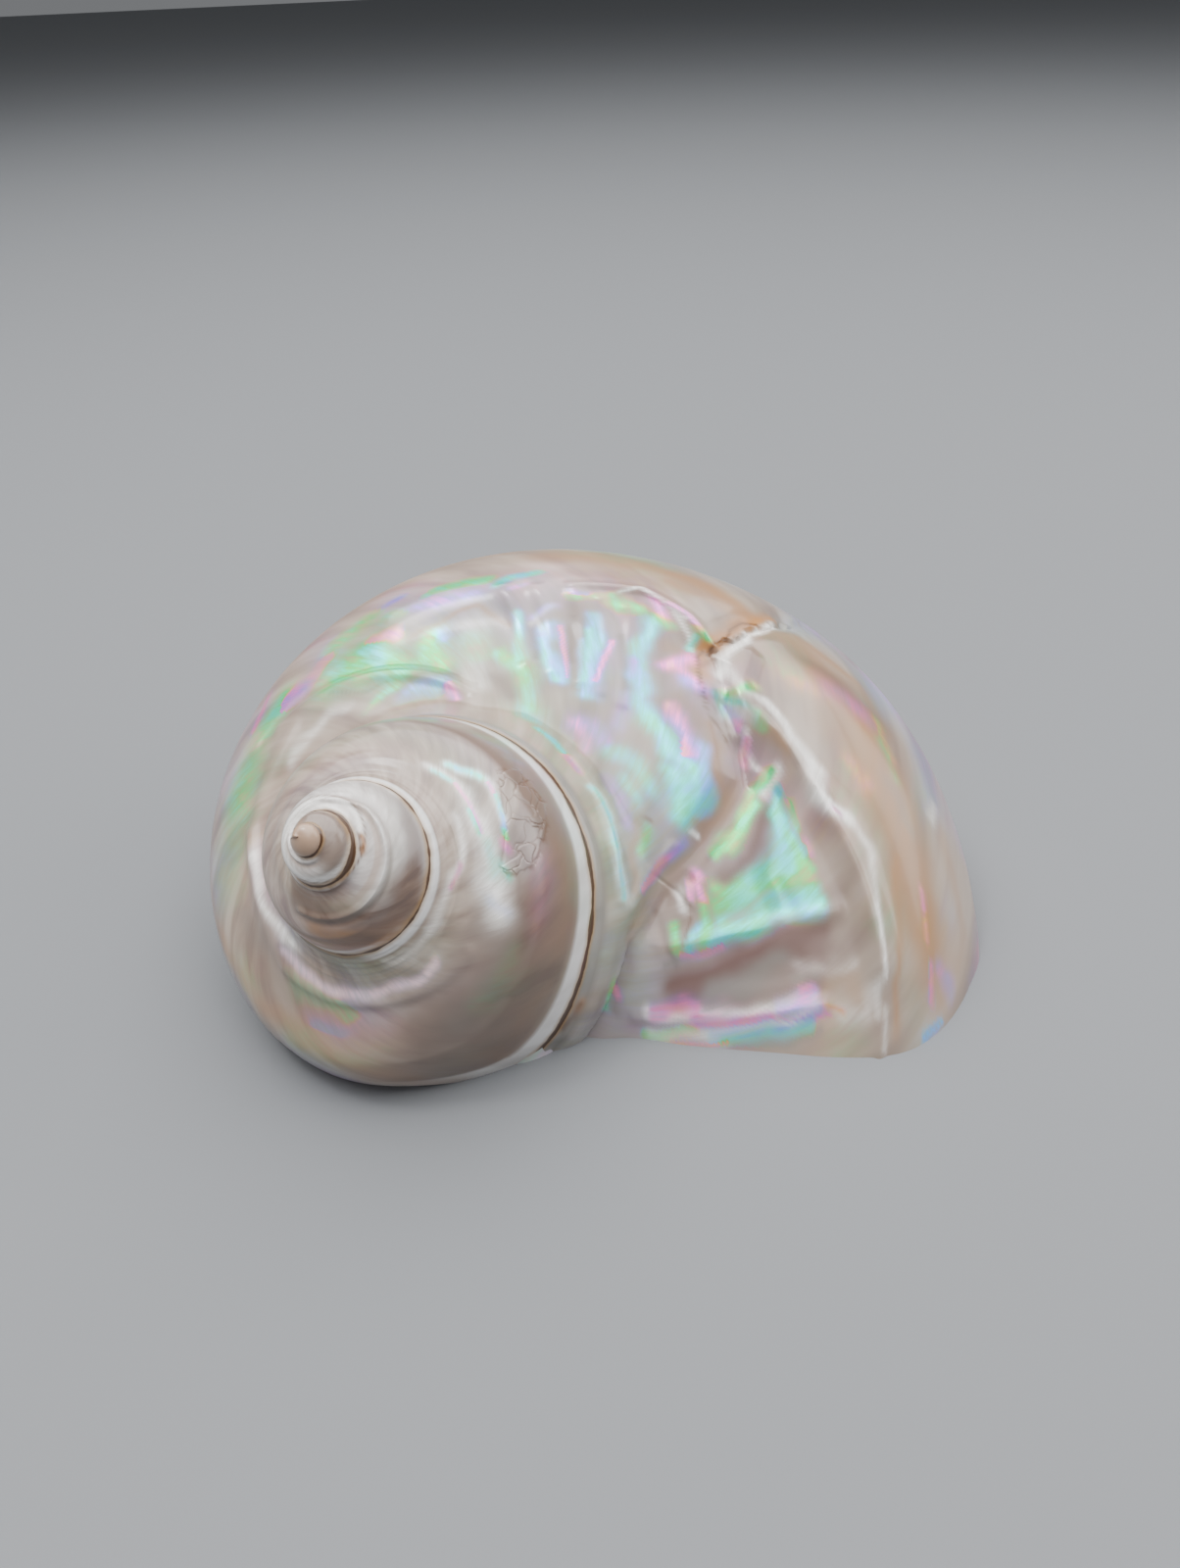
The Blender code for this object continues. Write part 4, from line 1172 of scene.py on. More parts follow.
@dataclass(frozen=True)
class PolishedNacre(Finish):
    """Mother-of-pearl, ground through the outer layer and buffed: pastel gleams of painted sheen and painted
    highlights over warm pearl.
    """

    name: str = "polished_mother_of_pearl"
    roughness: float = 0.28
    coat: float = 0.25
    coat_roughness: float = 0.1
    mirror: float = 0.66
    growth_line_lean: float = 2.6
    streaks: Grain = Grain(1.8, 6.0, 5.0, 0.66, 0.4)
    clouds: Grain = Grain(9.0, 3.5, 3.0, 0.5, 0.3)
    pearl: Stops = ((0.35, "84736a"), (0.5, "97877b"), (0.65, "a99b8f"))
    # the white is also painted highlight; the taupe, mauve and grey are also painted shade
    tones: tuple[tuple[Tone, str], ...] = (
        (Tone.PORCELAIN, "dddcdb"), (Tone.TAN, "9a7350"), (Tone.TAUPE_AND_SHADE, "65534a"), (Tone.MAUVE_AND_SHADE, "6b534f"),
        (Tone.GREY_AND_SHADE, "7a756f"), (Tone.WHITE, "f0eeea"), (Tone.ORANGE, "b07c4c"))
    ragged: tuple[float, float, float] = (0.5, 0.35, 0.3)  # of the white, which is partly painted highlight, and of the painted sheen, of the rest, of stains
    painted_sheen_ramp: Stops = (
        (0.0, "1cec74"), (0.16, "10eadc"), (0.32, "5cb8ff"), (0.5, "a084f8"), (0.66, "f878cc"),
        (0.83, "f4b06c"), (1.0, "1cec74"))
    streak_shift: float = 0.07
    patch_mm: float = 4.5
    patch_shift: float = 0.08
    core: tuple[float, float, float] = (0.6, 1.2, 0.08)  # painted highlight: the glow pales towards white, from, to and how much
    stain: str = "5a381d"
    suture_mm: tuple[float, float] = (0.36, 0.18)  # half width, and how much it wavers
    suture_edges: tuple[tuple[str, Span, float], ...] = (
        ("a07a42", (-0.7, 0.05), 0.6), ("4a3220", (-0.08, 0.1), 1.0))
    waver_scale: float = 260.0
    wave_scale: float = 420.0
    bump_strength: float = 0.25
    bump_mm: float = 0.05

    def build(self) -> Material:
        """Builds the material."""
        material, shader = self.start()
        tree = material.node_tree
        shader.inputs["Coat Roughness"].default_value = self.coat_roughness
        place = add_node(tree, "ShaderNodeUVMap", uv_map="place").outputs[0]
        turn, share, _ = add_node(tree, "ShaderNodeSeparateXYZ", {0: place}).outputs
        leant = calculate(tree, "MULTIPLY_ADD", share, self.growth_line_lean, turn)
        leant_place = add_node(tree, "ShaderNodeCombineXYZ", {0: leant, 1: share}).outputs[0]
        streaks, clouds = self.streaks.value(tree, leant_place), self.clouds.value(tree, leant_place)
        spot = object_place(tree)
        in_streaks, in_clouds, in_stain = self.ragged
        colour = ramp(tree, clouds, self.pearl)
        for tone, hex_colour in self.tones:
            grain, ragged = (streaks, in_streaks) if tone is Tone.WHITE else (clouds, in_clouds)
            colour = mixed(tree, colour, linear(hex_colour), self.amount(tree, tone, grain, ragged))
        # painted sheen: the glows and the faint gleam, also made partly metallic
        shine = self.amount(tree, Tone.GLOW, streaks, in_streaks)
        # painted highlight: the fullest painted sheen pales towards white
        low, high, most = self.core
        core = remap(tree, shine, (low, high), (0.0, most), "SMOOTHSTEP")
        hue = mixed(tree, self.painted_sheen_colour(tree, spot, streaks), linear("ffffff"), core)
        colour = mixed(tree, colour, hue, shine)
        stain = self.amount(tree, Tone.STAIN, clouds, in_stain)
        colour = self.with_suture(tree, mixed(tree, colour, linear(self.stain), stain), spot)
        tree.links.new(colour, shader.inputs["Base Color"])
        tree.links.new(calculate(tree, "MULTIPLY", shine, self.mirror), shader.inputs["Metallic"])
        tree.links.new(self.buffed(tree, spot, streaks), shader.inputs["Normal"])
        return material

    def amount(self, tree: Tree, tone: Tone, grain: Socket, ragged: float) -> Socket:
        """The amount of one tone, made ragged by a grain."""
        spread = remap(tree, grain, NOISE_RANGE, (1.0 - ragged, 1.0 + 0.6 * ragged))
        return calculate(tree, "MULTIPLY", stored(tree, tone.value), spread, use_clamp=True)

    def painted_sheen_colour(self, tree: Tree, spot: Socket, streaks: Socket) -> Socket:
        """The painted sheen's interference colour, which shifts a little with the growth lines and in
        patches.
        """
        angle = calculate(tree, "ARCTAN2", stored(tree, "wave_sin"), stored(tree, "wave_cos"))
        order = calculate(tree, "MULTIPLY_ADD", angle, 1.0 / TURN, 1.0)
        patches = cloudy(tree, spot, 1.0 / (self.patch_mm * MM), 2.0)
        for grain, reach in ((streaks, self.streak_shift), (patches, self.patch_shift)):
            order = calculate(tree, "ADD", order, remap(tree, grain, NOISE_RANGE, (-reach, reach)))
        return ramp(tree, calculate(tree, "FRACT", order), self.painted_sheen_ramp)

    def with_suture(self, tree: Tree, colour: Socket, spot: Socket) -> Socket:
        """The colour with the golden fringe and brown line of old skin left in the sutures."""
        mean, spread = self.suture_mm
        waver = cloudy(tree, spot, self.waver_scale, 3.0)
        width = remap(tree, waver, NOISE_RANGE, (mean - spread, mean + spread))
        inside = calculate(tree, "SUBTRACT", width, stored(tree, "from_seam"))
        for hex_colour, edge, most in self.suture_edges:
            share = remap(tree, inside, edge, (0.0, most), "SMOOTHSTEP")
            colour = mixed(tree, colour, linear(hex_colour), share)
        return colour

    def buffed(self, tree: Tree, spot: Socket, streaks: Socket) -> Socket:
        """The normals of the buffed surface: faint growth lines and small waves."""
        height = calculate(tree, "ADD", cloudy(tree, spot, self.wave_scale, 2.0), streaks)
        return add_node(tree, "ShaderNodeBump", {
            "Height": height, "Strength": self.bump_strength, "Distance": self.bump_mm * MM}).outputs[0]


@dataclass(frozen=True)
class CloudedFinish(Finish):
    """A finish whose colour drifts softly from place to place."""

    cloud_mm: float = 9.0
    detail: float = 2.0
    distortion: float = 0.0
    stops: Stops = ()

    def build(self) -> Material:
        """Builds the material."""
        material, shader = self.start()
        tree = material.node_tree
        clouds = cloudy(tree, object_place(tree), 1.0 / (self.cloud_mm * MM), self.detail,
                        distortion=self.distortion)
        tree.links.new(ramp(tree, clouds, self.stops), shader.inputs["Base Color"])
        return material


@dataclass(frozen=True)
class InnerNacre(CloudedFinish):
    """The unpolished inside of the whorl, as the animal left it: smooth, white and silky."""

    name: str = "silky_inner_nacre"
    roughness: float = 0.3
    coat: float = 0.25
    distortion: float = 0.8
    stops: Stops = ((0.3, "bdb7b0"), (0.45, "b3c2ba"), (0.57, "bfb5c3"), (0.7, "c6beb3"))


@dataclass(frozen=True)
class GroundShell(CloudedFinish):
    """The rim and callus where the shell was ground flat: matt cream with fine layers."""

    name: str = "ground_shell_layers"
    roughness: float = 0.5
    cloud_mm: float = 6.667
    detail: float = 4.0
    distortion: float = 2.5
    stops: Stops = ((0.35, "aca192"), (0.65, "c1b8ab"))


class Part(Enum):
    """The surfaces of the shell, in the order of its materials."""

    OUTSIDE = 0
    INSIDE = 1
    GROUND = 2
    CALLUS = 3


@dataclass
class Weave:
    """The vertices and faces of the lattice as they are put together."""

    lattice: "Lattice"
    faces: list[list[int]] = field(default_factory=list)
    places: list[Place] = field(default_factory=list)
    index: dict[tuple[int, int], int] = field(default_factory=dict)
    turns: list[float] = field(default_factory=list)
    shares: list[float] = field(default_factory=list)
    points: list[np.ndarray] = field(default_factory=list)

    def vertex(self, column: int, row: int) -> int:
        """The vertex of a place, which is made when it is first asked for."""
        spot = self.lattice.key(column, row)
        if spot not in self.index:
            self.index[spot] = len(self.turns)
            self.turns.append(self.lattice.turns[spot[0]])
            self.shares.append(self.lattice.shares[spot[1]])
        return self.index[spot]

    def extra(self, point: np.ndarray) -> int:
        """A vertex at a point in space. It comes after the last one that has a place."""
        self.points.append(point)
        return len(self.turns) + len(self.points) - 1

    def face(self, corners: list[int], places: Sequence[Place]) -> None:
        """Adds a face, with the place of each corner, or with one place for all."""
        self.faces.append(corners)
        self.places.extend(places if len(places) > 1 else places * len(corners))


@dataclass
class Lattice:
    """The places of the outside, denser on the last turn and at the break."""

    growth: Growth
    relief: Relief
    fine_lines: tuple[tuple[Place, ...], ...]
    first_turn: float = -22.0
    last_turn: float = 1.2
    steps: int = 864
    seam: int = 256
    base: int = 72
    spans: tuple[int, int, int] = (2, 4, 8)  # columns to a face on the last turn, the one before, older ones
    base_span: int = 4
    dense_turns: tuple[float, Span, Span] = (0.9, (-1.55, 0.3), (1.15, -0.15))  # how much more, and where
    dense_shares: tuple[float, Span] = (0.7, (0.33, -0.03))  # the same
    dense_seams: tuple[float, float, float] = (2.0, 0.008, 0.012)  # how much more, and how near each seam
    fine_reach: float = 1.3 * MM
    dome_rise: float = 1.5 * MM
    dome_ease: float = 1.6
    dome_rings: int = 6
    core_share: float = 0.97
    wall_place: Place = (1.2, 0.9)
    turns: np.ndarray = field(init=False)
    shares: np.ndarray = field(init=False)
    first: int = field(init=False)
    last: int = field(init=False)

    def __post_init__(self) -> None:
        """Spreads the columns and the rows."""
        more, begin, end = self.dense_turns
        x = np.linspace(self.last_turn - TURN, self.last_turn, 4001)
        one = evenly(x, 1.0 + more * rise(x, *begin) * rise(x, *end), self.steps)[:-1]
        count = int((self.last_turn - self.first_turn) / TURN) + 1
        self.turns = np.concatenate([one - TURN * k for k in range(count - 1, -1, -1)] + [[self.last_turn]])
        self.last = len(self.turns) - 1
        coarsest = self.spans[-1]
        self.first = int(np.searchsorted(self.turns, self.first_turn) // coarsest * coarsest)
        more, end = self.dense_shares
        at_seam, near_upper, near_lower = self.dense_seams
        x = np.linspace(0.0, self.growth.next_suture, 2001)
        density = 1.0 + more * rise(x, *end)
        density += at_seam * bump(x / near_upper)
        density += at_seam * bump((self.growth.next_suture - x) / near_lower)
        rows = evenly(x, density, self.seam)
        base = np.linspace(self.growth.next_suture, 1.0, self.base + 1)[1:]
        self.shares = np.concatenate([rows, base])

    def level(self, column: int) -> int:
        """How many columns and rows one face spans there, before the fine places are split."""
        age = (self.last - column - 1) // self.steps
        return self.spans[min(age, len(self.spans) - 1)]

    def key(self, column: int, row: int) -> tuple[int, int]:
        """The one name of a place that two whorls share."""
        if row == self.seam and column + self.steps <= self.last:
            return column + self.steps, 0
        return column, row

    def cells(self) -> list[tuple[int, int, int]]:
        """The column, the row and the span of every face, split where the relief is fine."""
        coarse = []
        column = self.first
        while column < self.last:
            step = self.level(column)
            coarse += [(column, row, step) for row in range(0, self.seam, step)]
            column += step
        wide = self.base_span
        base_columns = range(self.last - self.steps, self.last, wide)
        base_rows = range(self.seam, self.seam + self.base, wide)
        coarse += [(column, row, wide) for column in base_columns for row in base_rows]
        for _ in range(2):
            columns, rows, steps = np.array(coarse).T
            turn = 0.5 * (self.turns[columns] + self.turns[columns + steps])
            share = 0.5 * (self.shares[rows] + self.shares[rows + steps])
            split = self.relief.inside_flakes(turn, share) > 0.5
            for line in self.fine_lines:
                split |= self.growth.distance(turn, share, line) < self.fine_reach
            split &= (steps > 1) & (share < self.growth.next_suture)
            finer = []
            for (column, row, step), halve in zip(coarse, split):
                size = step // 2 if halve else step
                corners = range(0, step, size)
                finer += [(column + i, row + j, size) for i in corners for j in corners]
            coarse = finer
        return coarse

    def outline(self, column: int, row: int, step: int,
                used: set[tuple[int, int]]) -> list[tuple[int, int]]:
        """The corners of a face, with the vertices of finer neighbours between them."""
        edge, far_column, far_row = range(step), column + step, row + step
        round_it = [(column, row + i) for i in edge] + [(column + i, far_row) for i in edge]
        round_it += [(far_column, far_row - i) for i in edge] + [(far_column - i, row) for i in edge]
        return [spot for spot in round_it if self.key(*spot) in used]

    def profile(self, turn: np.ndarray, share: np.ndarray) -> np.ndarray:
        """The (out, down) of the outside, where the very first whorl flattens into the dome's rim."""
        upper, lower = self.growth.suture(turn), self.growth.suture(turn + TURN)
        chord = upper + (lower - upper) * np.clip(share / self.growth.next_suture, 0.0, 1.0)[:, None]
        grown = rise(turn, self.first_turn, self.dome_ease)[:, None]
        return chord + grown * (self.growth.section_at(turn, share) - chord)

    def add_dome(self, weave: Weave, space: np.ndarray) -> None:
        """Closes the tip with a low dome over the first turn."""
        axis, coarsest = self.growth.axes[0], self.spans[-1]
        loop = [weave.vertex(self.first + i, 0) for i in range(0, self.steps, coarsest)]
        loop += [weave.vertex(self.first, row) for row in range(self.seam, 0, -coarsest)]
        middle = space[loop].mean(axis=0)
        ring = loop
        for step in range(1, self.dome_rings + 1):
            turned = math.pi / 2 * step / (self.dome_rings + 1)
            up = self.dome_rise * math.sin(turned) * axis
            after = [weave.extra(middle + math.cos(turned) * (space[v] - middle) + up) for v in loop]
            for i in range(len(loop)):
                weave.face([ring[i], ring[i - 1], after[i - 1], after[i]], [DOME_PLACE])
            ring = after
        top = weave.extra(middle + self.dome_rise * axis)
        for i in range(len(loop)):
            weave.face([ring[i], ring[i - 1], top], [DOME_PLACE])

    def add_core(self, weave: Weave, used: set[tuple[int, int]]) -> None:
        """Closes the last turn with a core along the axis and a wall across its open end."""
        end, begin, wide = self.seam + self.base, self.last - self.steps, self.base_span
        axis = self.growth.axes[0]
        drop = self.growth.section_at(self.turns, np.ones(len(self.turns)))[:, 1]
        core = {c: weave.extra(np.asarray(self.growth.tip) - self.core_share * drop[c] * axis)
                for c in range(begin, self.last + 1, wide)}
        for c in range(begin, self.last, wide):
            corners = [weave.vertex(c, end), core[c], core[c + wide], weave.vertex(c + wide, end)]
            weave.face(corners, [(self.turns[c], 1.0)])
        wall = [weave.vertex(self.last, row) for row in range(end + 1) if (self.last, row) in used]
        wall += [core[c] for c in range(self.last, begin - 1, -wide)]
        wall += [weave.vertex(begin, row) for row in range(end, self.seam, -1) if (begin, row) in used]
        weave.face(wall, [self.wall_place])

    def build(self) -> Mesh:
        """Builds the lattice as a closed mesh, with what the winding tree reads as attributes.

        Returns:
            The mesh, with its places as its UV map.
        """
        weave = Weave(self)
        cells = self.cells()
        used = {self.key(c + i, r + j) for c, r, step in cells for i in (0, step) for j in (0, step)}
        for cell in cells:
            spots = self.outline(*cell, used)
            weave.face([weave.vertex(*spot) for spot in spots],
                       [(self.turns[c], self.shares[r]) for c, r in spots])
        turn, share = np.array(weave.turns), np.array(weave.shares)
        profile = self.profile(turn, share)
        self.add_dome(weave, self.growth.in_space(turn, profile))
        self.add_core(weave, used)
        more_turn, more_profile = self.growth.from_space(np.array(weave.points))
        lift = np.concatenate([self.relief.height(turn, share), np.zeros(len(more_turn))])
        turn = np.concatenate([turn, more_turn])
        profile = np.concatenate([profile, more_profile])
        steps = profile / self.growth.size(turn)[:, None] - np.array([1.0, self.growth.drop])
        mesh = bpy.data.meshes.new("shell_lattice")
        mesh.from_pydata(np.outer(turn, [1.0, 0.0, 0.0]).tolist(), [], weave.faces)
        uv = mesh.uv_layers.new(name="place")
        uv.data.foreach_set("uv", np.array(weave.places, np.float32).ravel())
        for name, values in (("turn", turn), ("out", steps[:, 0]), ("down", steps[:, 1]), ("lift", lift)):
            layer = mesh.attributes.new(name, "FLOAT", "POINT")
            layer.data.foreach_set("value", values.astype(np.float32))
        return mesh


@dataclass(frozen=True)
class Winding:
    """The Geometry Nodes tree that winds the lattice into the shell."""

    growth: Growth
    wave_height: float = 0.14 * MM
    wave_size: float = 7.0 * MM
    wave_middle: float = 0.55
    polish: float = 0.14 * MM
    seed: float = 3.0

    def inputs(self) -> dict[str, tuple[str, object]]:
        """The tree's inputs, each with its socket type and its value."""
        growth = self.growth
        axis, start, back = (tuple(float(c) for c in v) for v in growth.axes)
        numbers = {"Suture Radius": growth.suture_radius, "Widening": growth.widening, "Drop": growth.drop,
                   "Wave Height": self.wave_height, "Wave Size": self.wave_size, "Polish": self.polish,
                   "Seed": self.seed}
        vectors = {"Tip": tuple(growth.tip), "Axis": axis, "Start": start, "Back": back}
        return ({name: ("NodeSocketFloat", value) for name, value in numbers.items()}
                | {name: ("NodeSocketVector", value) for name, value in vectors.items()})

    def build(self, material: Material) -> Tree:
        """Builds the tree.

        Args:
            material: The material of the outside.

        Returns:
            The node tree.
        """
        tree = bpy.data.node_groups.new("wind_the_whorls", "GeometryNodeTree")
        tree.interface.new_socket("Geometry", in_out="INPUT", socket_type="NodeSocketGeometry")
        tree.interface.new_socket("Geometry", in_out="OUTPUT", socket_type="NodeSocketGeometry")
        for name, (kind, value) in self.inputs().items():
            tree.interface.new_socket(name, in_out="INPUT", socket_type=kind).default_value = value
        given = add_node(tree, "NodeGroupInput").outputs

        def lattice(name: str) -> Socket:
            """A number that the lattice holds for each point."""
            return add_node(tree, "GeometryNodeInputNamedAttribute", {"Name": name},
                            data_type="FLOAT").outputs[0]

        number, vector = partial(calculate, tree), partial(combine_vectors, tree)
        turn = lattice("turn")
        grown = number("EXPONENT", number("MULTIPLY", given["Widening"], turn))
        size = number("MULTIPLY", given["Suture Radius"], grown)
        out = number("MULTIPLY", size, number("ADD", lattice("out"), 1.0))
        down = number("MULTIPLY", size, number("ADD", lattice("down"), given["Drop"]))
        radial = vector("SUBTRACT", vector("MULTIPLY", given["Start"], number("COSINE", turn)),
                        vector("MULTIPLY", given["Back"], number("SINE", turn)))
        place = vector("SUBTRACT", vector("ADD", given["Tip"], vector("MULTIPLY", radial, out)),
                       vector("MULTIPLY", given["Axis"], down))
        outward = add_node(tree, "GeometryNodeFlipFaces", {"Mesh": given["Geometry"]}).outputs[0]
        wound = add_node(tree, "GeometryNodeSetPosition", {"Geometry": outward, "Position": place})
        waves = add_node(tree, "ShaderNodeTexNoise", {
            "Vector": place, "W": given["Seed"], "Scale": number("DIVIDE", 1.0, given["Wave Size"]),
            "Detail": 2.0}, noise_dimensions="4D")
        young = number("MINIMUM", number("DIVIDE", size, given["Suture Radius"]), 1.0)
        wave = number("SUBTRACT", waves.outputs[0], self.wave_middle)
        wave = number("MULTIPLY", wave, given["Wave Height"])
        lift = number("SUBTRACT", number("ADD", lattice("lift"), number("MULTIPLY", wave, young)),
                      number("MULTIPLY", given["Polish"], young))
        offset = vector("MULTIPLY", add_node(tree, "GeometryNodeInputNormal").outputs[0], lift)
        made = add_node(tree, "GeometryNodeSetPosition", {"Geometry": wound.outputs[0], "Offset": offset})
        for kind, more in (("GeometryNodeSetShadeSmooth", {}), ("GeometryNodeRealizeInstances", {}),
                           ("GeometryNodeSetMaterial", {"Material": material})):
            made = add_node(tree, kind, {"Geometry": made.outputs[0]} | more)
        add_node(tree, "NodeGroupOutput", {0: made.outputs[0]})
        return tree

    def apply(self, piece: Object, material: Material) -> None:
        """Winds a lattice object and turns the result into its plain mesh."""
        tree = self.build(material)
        modifier = piece.modifiers.new("wind_the_whorls", "NODES")
        modifier.node_group = tree
        sockets = {item.name: item.identifier for item in tree.interface.items_tree
                   if item.item_type == "SOCKET" and item.in_out == "INPUT"}
        for name, (_, value) in self.inputs().items():
            modifier[sockets[name]] = value
        bake_modifiers(piece)


@dataclass
class TurbanShell:
    """The whole shell: the wound outside, the hollow, the callus and the ground mouth."""

    growth: Growth = field(default_factory=Growth)
    camera: PhotoCamera = field(default_factory=PhotoCamera)
    hollow: tuple[Place, ...] = (
        (0.12, 0.62), (0.62, 0.75), (1.15, 0.92), (1.52, 1.2), (1.68, 1.65), (1.5, 2.13), (1.0, 2.38),
        (0.35, 2.36), (-0.2, 2.08), (-0.58, 1.6), (-0.68, 1.1), (-0.55, 0.68), (-0.22, 0.46))
    hollow_middle: Place = (0.5, 1.4)
    # where the hollow begins and ends, how soon it is full, and how wide it is where it begins
    hollow_turns: tuple[float, float, float, float] = (-5.2, 3.0, 1.5, 0.055)
    hollow_mesh: tuple[int, int] = (150, 64)
    callus_at: tuple[float, float, float] = (-0.0245, -0.0142, 0.002)
    callus_half: tuple[float, float, float] = (0.0235, 0.0212, 0.027)
    callus_turn: float = math.radians(-38.0)
    callus_waves: tuple[Wave, ...] = ((0.06, 2.0, 0.6), (0.045, 3.0, 2.1), (0.02, 5.0, 4.0))
    callus_mesh: tuple[int, int] = (72, 40)
    block_size: tuple[float, float] = (1.0, 0.2)  # side and depth
    sharp_angle: float = math.radians(42.0)
    colour_grid: int = 3  # marks are looked for at every third place of the lattice

    def materials(self) -> list[Material]:
        """The materials, in the order of Part."""
        nacre, inner, ground = (finish().build() for finish in (PolishedNacre, InnerNacre, GroundShell))
        return [nacre, inner, ground, inner]

    def tool(self, name: str, vertices: np.ndarray, faces: list[list[int]],
             materials: Sequence[Material], part: Part) -> Object:
        """A closed helper mesh with its faces marked as one part of the shell."""
        mesh = bpy.data.meshes.new(name)
        mesh.from_pydata(np.asarray(vertices).tolist(), [], faces)
        face_outwards(mesh)
        give_materials(mesh, materials)
        uv = mesh.uv_layers.new(name="place")
        uv.data.foreach_set("uv", np.tile(INNER_PLACE, len(mesh.loops)))
        mesh.polygons.foreach_set("material_index", [part.value] * len(mesh.polygons))
        mesh.polygons.foreach_set("use_smooth", [part is not Part.GROUND] * len(mesh.polygons))
        return add_object(name, mesh)

    def hollow_tube(self, materials: Sequence[Material]) -> Object:
        """The inside of the last whorl: a tube that narrows to a closed end."""
        begin, end, taper, least = self.hollow_turns
        count, sides = self.hollow_mesh
        outline = catmull(self.hollow + self.hollow[:1], sides + 1)[:-1]
        middle = np.array(self.hollow_middle)
        rings = []
        for turn in np.linspace(begin, end, count + 1):
            wide = max(math.sqrt(rise(turn, begin, taper)), least)
            around = np.full(sides, turn)
            step = middle + wide * (outline - middle)
            scale = (self.growth.size(around) * self.growth.fullness(around))[:, None]
            rings.append(self.growth.in_space(around, self.growth.suture(around) + scale * step))
        faces = [[here, k + (here + 1) % sides, k + sides + (here + 1) % sides, here + sides]
                 for k in range(0, count * sides, sides) for here in range(k, k + sides)]
        faces += [list(range(sides)), [count * sides + i for i in range(sides)]]
        return self.tool("hollow", np.concatenate(rings), faces, materials, Part.INSIDE)

    def callus_lump(self, materials: Sequence[Material]) -> Object:
        """The uneven lump of shell beside the mouth."""
        sides, rings = self.callus_mesh
        work = bmesh.new()
        bmesh.ops.create_uvsphere(work, u_segments=sides, v_segments=rings, radius=1.0)
        points = np.array([v.co for v in work.verts])
        faces = [[v.index for v in f.verts] for f in work.faces]
        work.free()
        heading = np.arctan2(points[:, 1], points[:, 0])
        wave = 1.0 + ripple(heading, self.callus_waves)
        points = points * np.stack([wave, wave, np.ones(len(wave))], -1) * np.array(self.callus_half)
        turn, lean = math.cos(self.callus_turn), math.sin(self.callus_turn)
        points = points @ np.array([[turn, lean, 0.0], [-lean, turn, 0.0], [0.0, 0.0, 1.0]])
        return self.tool("callus", points + np.array(self.callus_at), faces, materials, Part.CALLUS)

    def ground_block(self, materials: Sequence[Material]) -> Object:
        """The block below z = 0, which is taken off to grind the mouth flat."""
        side, deep = self.block_size
        half = side / 2
        square = [(-half, -half), (half, -half), (half, half), (-half, half)]
        corners = np.array([(x, y, z) for z in (-deep, 0.0) for x, y in square])
        faces = [[0, 3, 2, 1], [4, 5, 6, 7]] + [[i, (i + 1) % 4, (i + 1) % 4 + 4, i + 4] for i in range(4)]
        return self.tool("block", corners, faces, materials, Part.GROUND)

    def combine(self, shell: Object, other: Object, operation: str) -> None:
        """Joins another closed mesh to the shell, or takes it away."""
        modifier = shell.modifiers.new(other.name, "BOOLEAN")
        modifier.operation = operation
        modifier.solver = "MANIFOLD"
        modifier.object = other
        bake_modifiers(shell)
        bpy.data.objects.remove(other, do_unlink=True)

    def colour(self, shell: Object, lattice: Lattice, relief: Relief) -> None:
        """Stores the colour amounts on the corners of the finished mesh."""
        colouring = Colouring(self.growth, relief, self.camera)
        turns = lattice.turns[lattice.first::self.colour_grid]
        shares = lattice.shares[:lattice.seam + 1:self.colour_grid]
        grid_turn, grid_share = np.meshgrid(turns, shares, indexing="ij")
        points = self.growth.surface(grid_turn, grid_share)
        normal = grid_normals(points)
        normal /= np.linalg.norm(normal, axis=-1)[..., None] + 1e-12
        points = points + normal * relief.height(grid_turn, grid_share)[..., None]
        places = colouring.seen_places(turns, shares, points)
        mesh = shell.data
        uv = np.empty(len(mesh.loops) * 2, np.float32)
        mesh.uv_layers["place"].data.foreach_get("uv", uv)
        unique, back = np.unique(np.round(uv.reshape(-1, 2), 5), axis=0, return_inverse=True)
        turn, share = unique[:, 0].astype(float), unique[:, 1].astype(float)
        amounts = colouring.amounts(turn, share, places)
        amounts["from_seam"] = colouring.from_seam(turn, share)
        for name, values in amounts.items():
            layer = mesh.attributes.new(name, "FLOAT", "CORNER")
            layer.data.foreach_set("value", values[back.reshape(-1)].astype(np.float32))

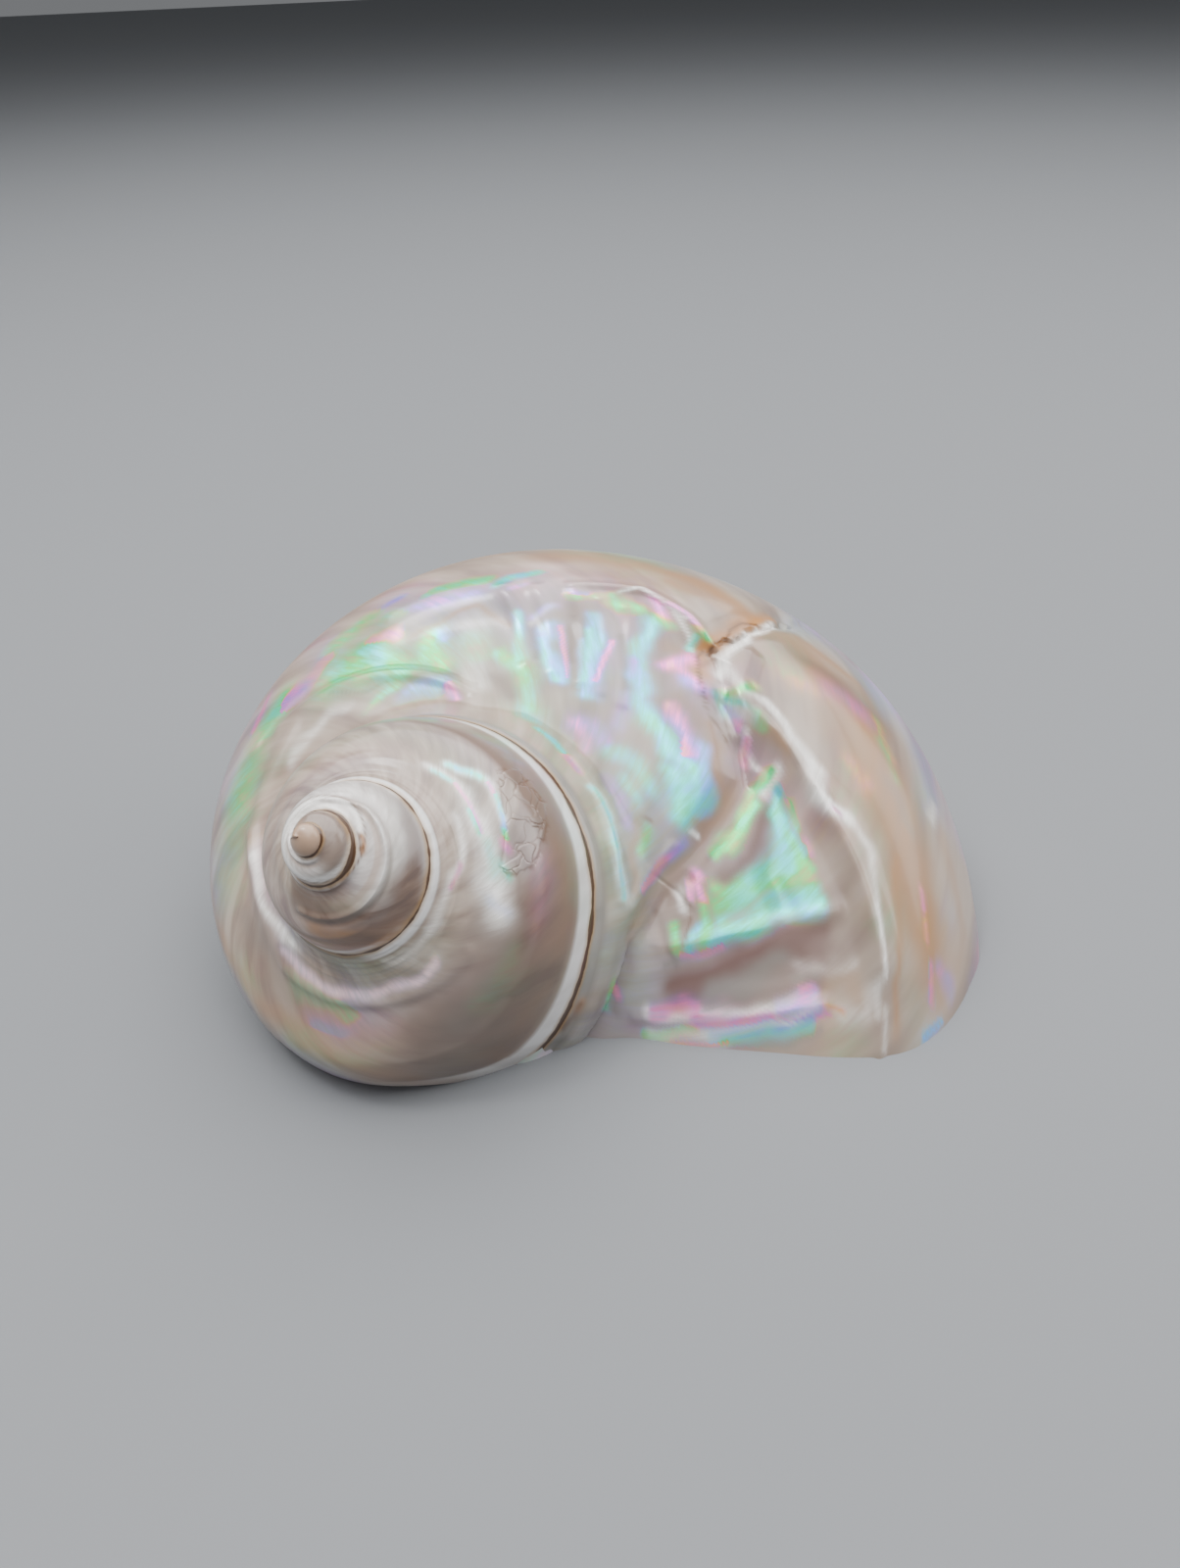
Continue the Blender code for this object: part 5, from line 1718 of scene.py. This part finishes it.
    def build(self) -> Object:
        """Builds the shell.

        Returns:
            The finished piece.
        """
        relief = Relief(self.growth)
        materials = self.materials()
        lattice = Lattice(self.growth, relief, (relief.furrow, *relief.cracks))
        shell = add_object("turban_shell", lattice.build())
        LOG.info("lattice: %d vertices, %d faces", len(shell.data.vertices), len(shell.data.polygons))
        Winding(self.growth).apply(shell, materials[Part.OUTSIDE.value])
        face_outwards(shell.data)
        give_materials(shell.data, materials)
        for tool, operation in ((self.callus_lump, "UNION"), (self.hollow_tube, "DIFFERENCE"),
                                (self.ground_block, "DIFFERENCE")):
            self.combine(shell, tool(materials), operation)
        shell.data.set_sharp_from_angle(angle=self.sharp_angle)
        LOG.info("shell: %d vertices, %d faces", len(shell.data.vertices), len(shell.data.polygons))
        self.colour(shell, lattice, relief)
        return shell


@dataclass(frozen=True)
class Studio:
    """A plain pale floor and soft light from above, as in the photograph."""

    floor_size: float = 6.0
    floor_colour: str = "727477"
    floor_finish: Finish = Finish("matt_pale_floor", 0.8)
    world_colour: str = "dfe2e6"
    world_strength: float = 0.24
    # name, place, side of the square in metres, power in watts
    lamps: tuple[tuple[str, tuple[float, float, float], float, float], ...] = (
        ("overhead", (0.0, 0.12, 0.85), 1.3, 27.0),
        ("right", (0.8, -0.03, 0.5), 0.6, 4.5),
        ("front", (0.0, -0.66, 0.78), 0.5, 2.2),
        ("glint", (-0.3, -0.1, 0.8), 0.16, 2.0),
    )
    aim: tuple[float, float, float] = (0.0, 0.0, 0.02)

    def build(self) -> None:
        """Adds the floor, the world and the lamps."""
        mesh = bpy.data.meshes.new("floor")
        half = self.floor_size / 2
        mesh.from_pydata([(-half, -half, 0), (half, -half, 0), (half, half, 0), (-half, half, 0)], [],
                         [(0, 1, 2, 3)])
        floor = add_object("floor", mesh)
        material, shader = self.floor_finish.start()
        shader.inputs["Base Color"].default_value = linear(self.floor_colour)
        give_materials(mesh, [material])
        world = bpy.data.worlds.new("soft_room")
        world.use_nodes = True
        background = world.node_tree.nodes["Background"]
        background.inputs["Color"].default_value = linear(self.world_colour)
        background.inputs["Strength"].default_value = self.world_strength
        bpy.context.scene.world = world
        for name, place, size, power in self.lamps:
            data = bpy.data.lights.new(name, "AREA")
            data.size, data.energy = size, power
            lamp = add_object(name, data)
            lamp.location = place
            lamp.rotation_euler = (Vector(place) - Vector(self.aim)).to_track_quat("Z", "Y").to_euler()


def main() -> None:
    """Builds the shell, the studio and the camera."""
    logging.basicConfig(level=logging.INFO, format="%(name)s: %(message)s")
    noise.seed_set(NOISE_SEED)
    shell = TurbanShell()
    shell.camera.add()
    piece = shell.build()
    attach(piece, "root")
    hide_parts("shell")
    LOG.info("built %s", piece.name)
    Studio().build()
    LOG.info("built the studio")


if __name__ == "__main__":
    main()
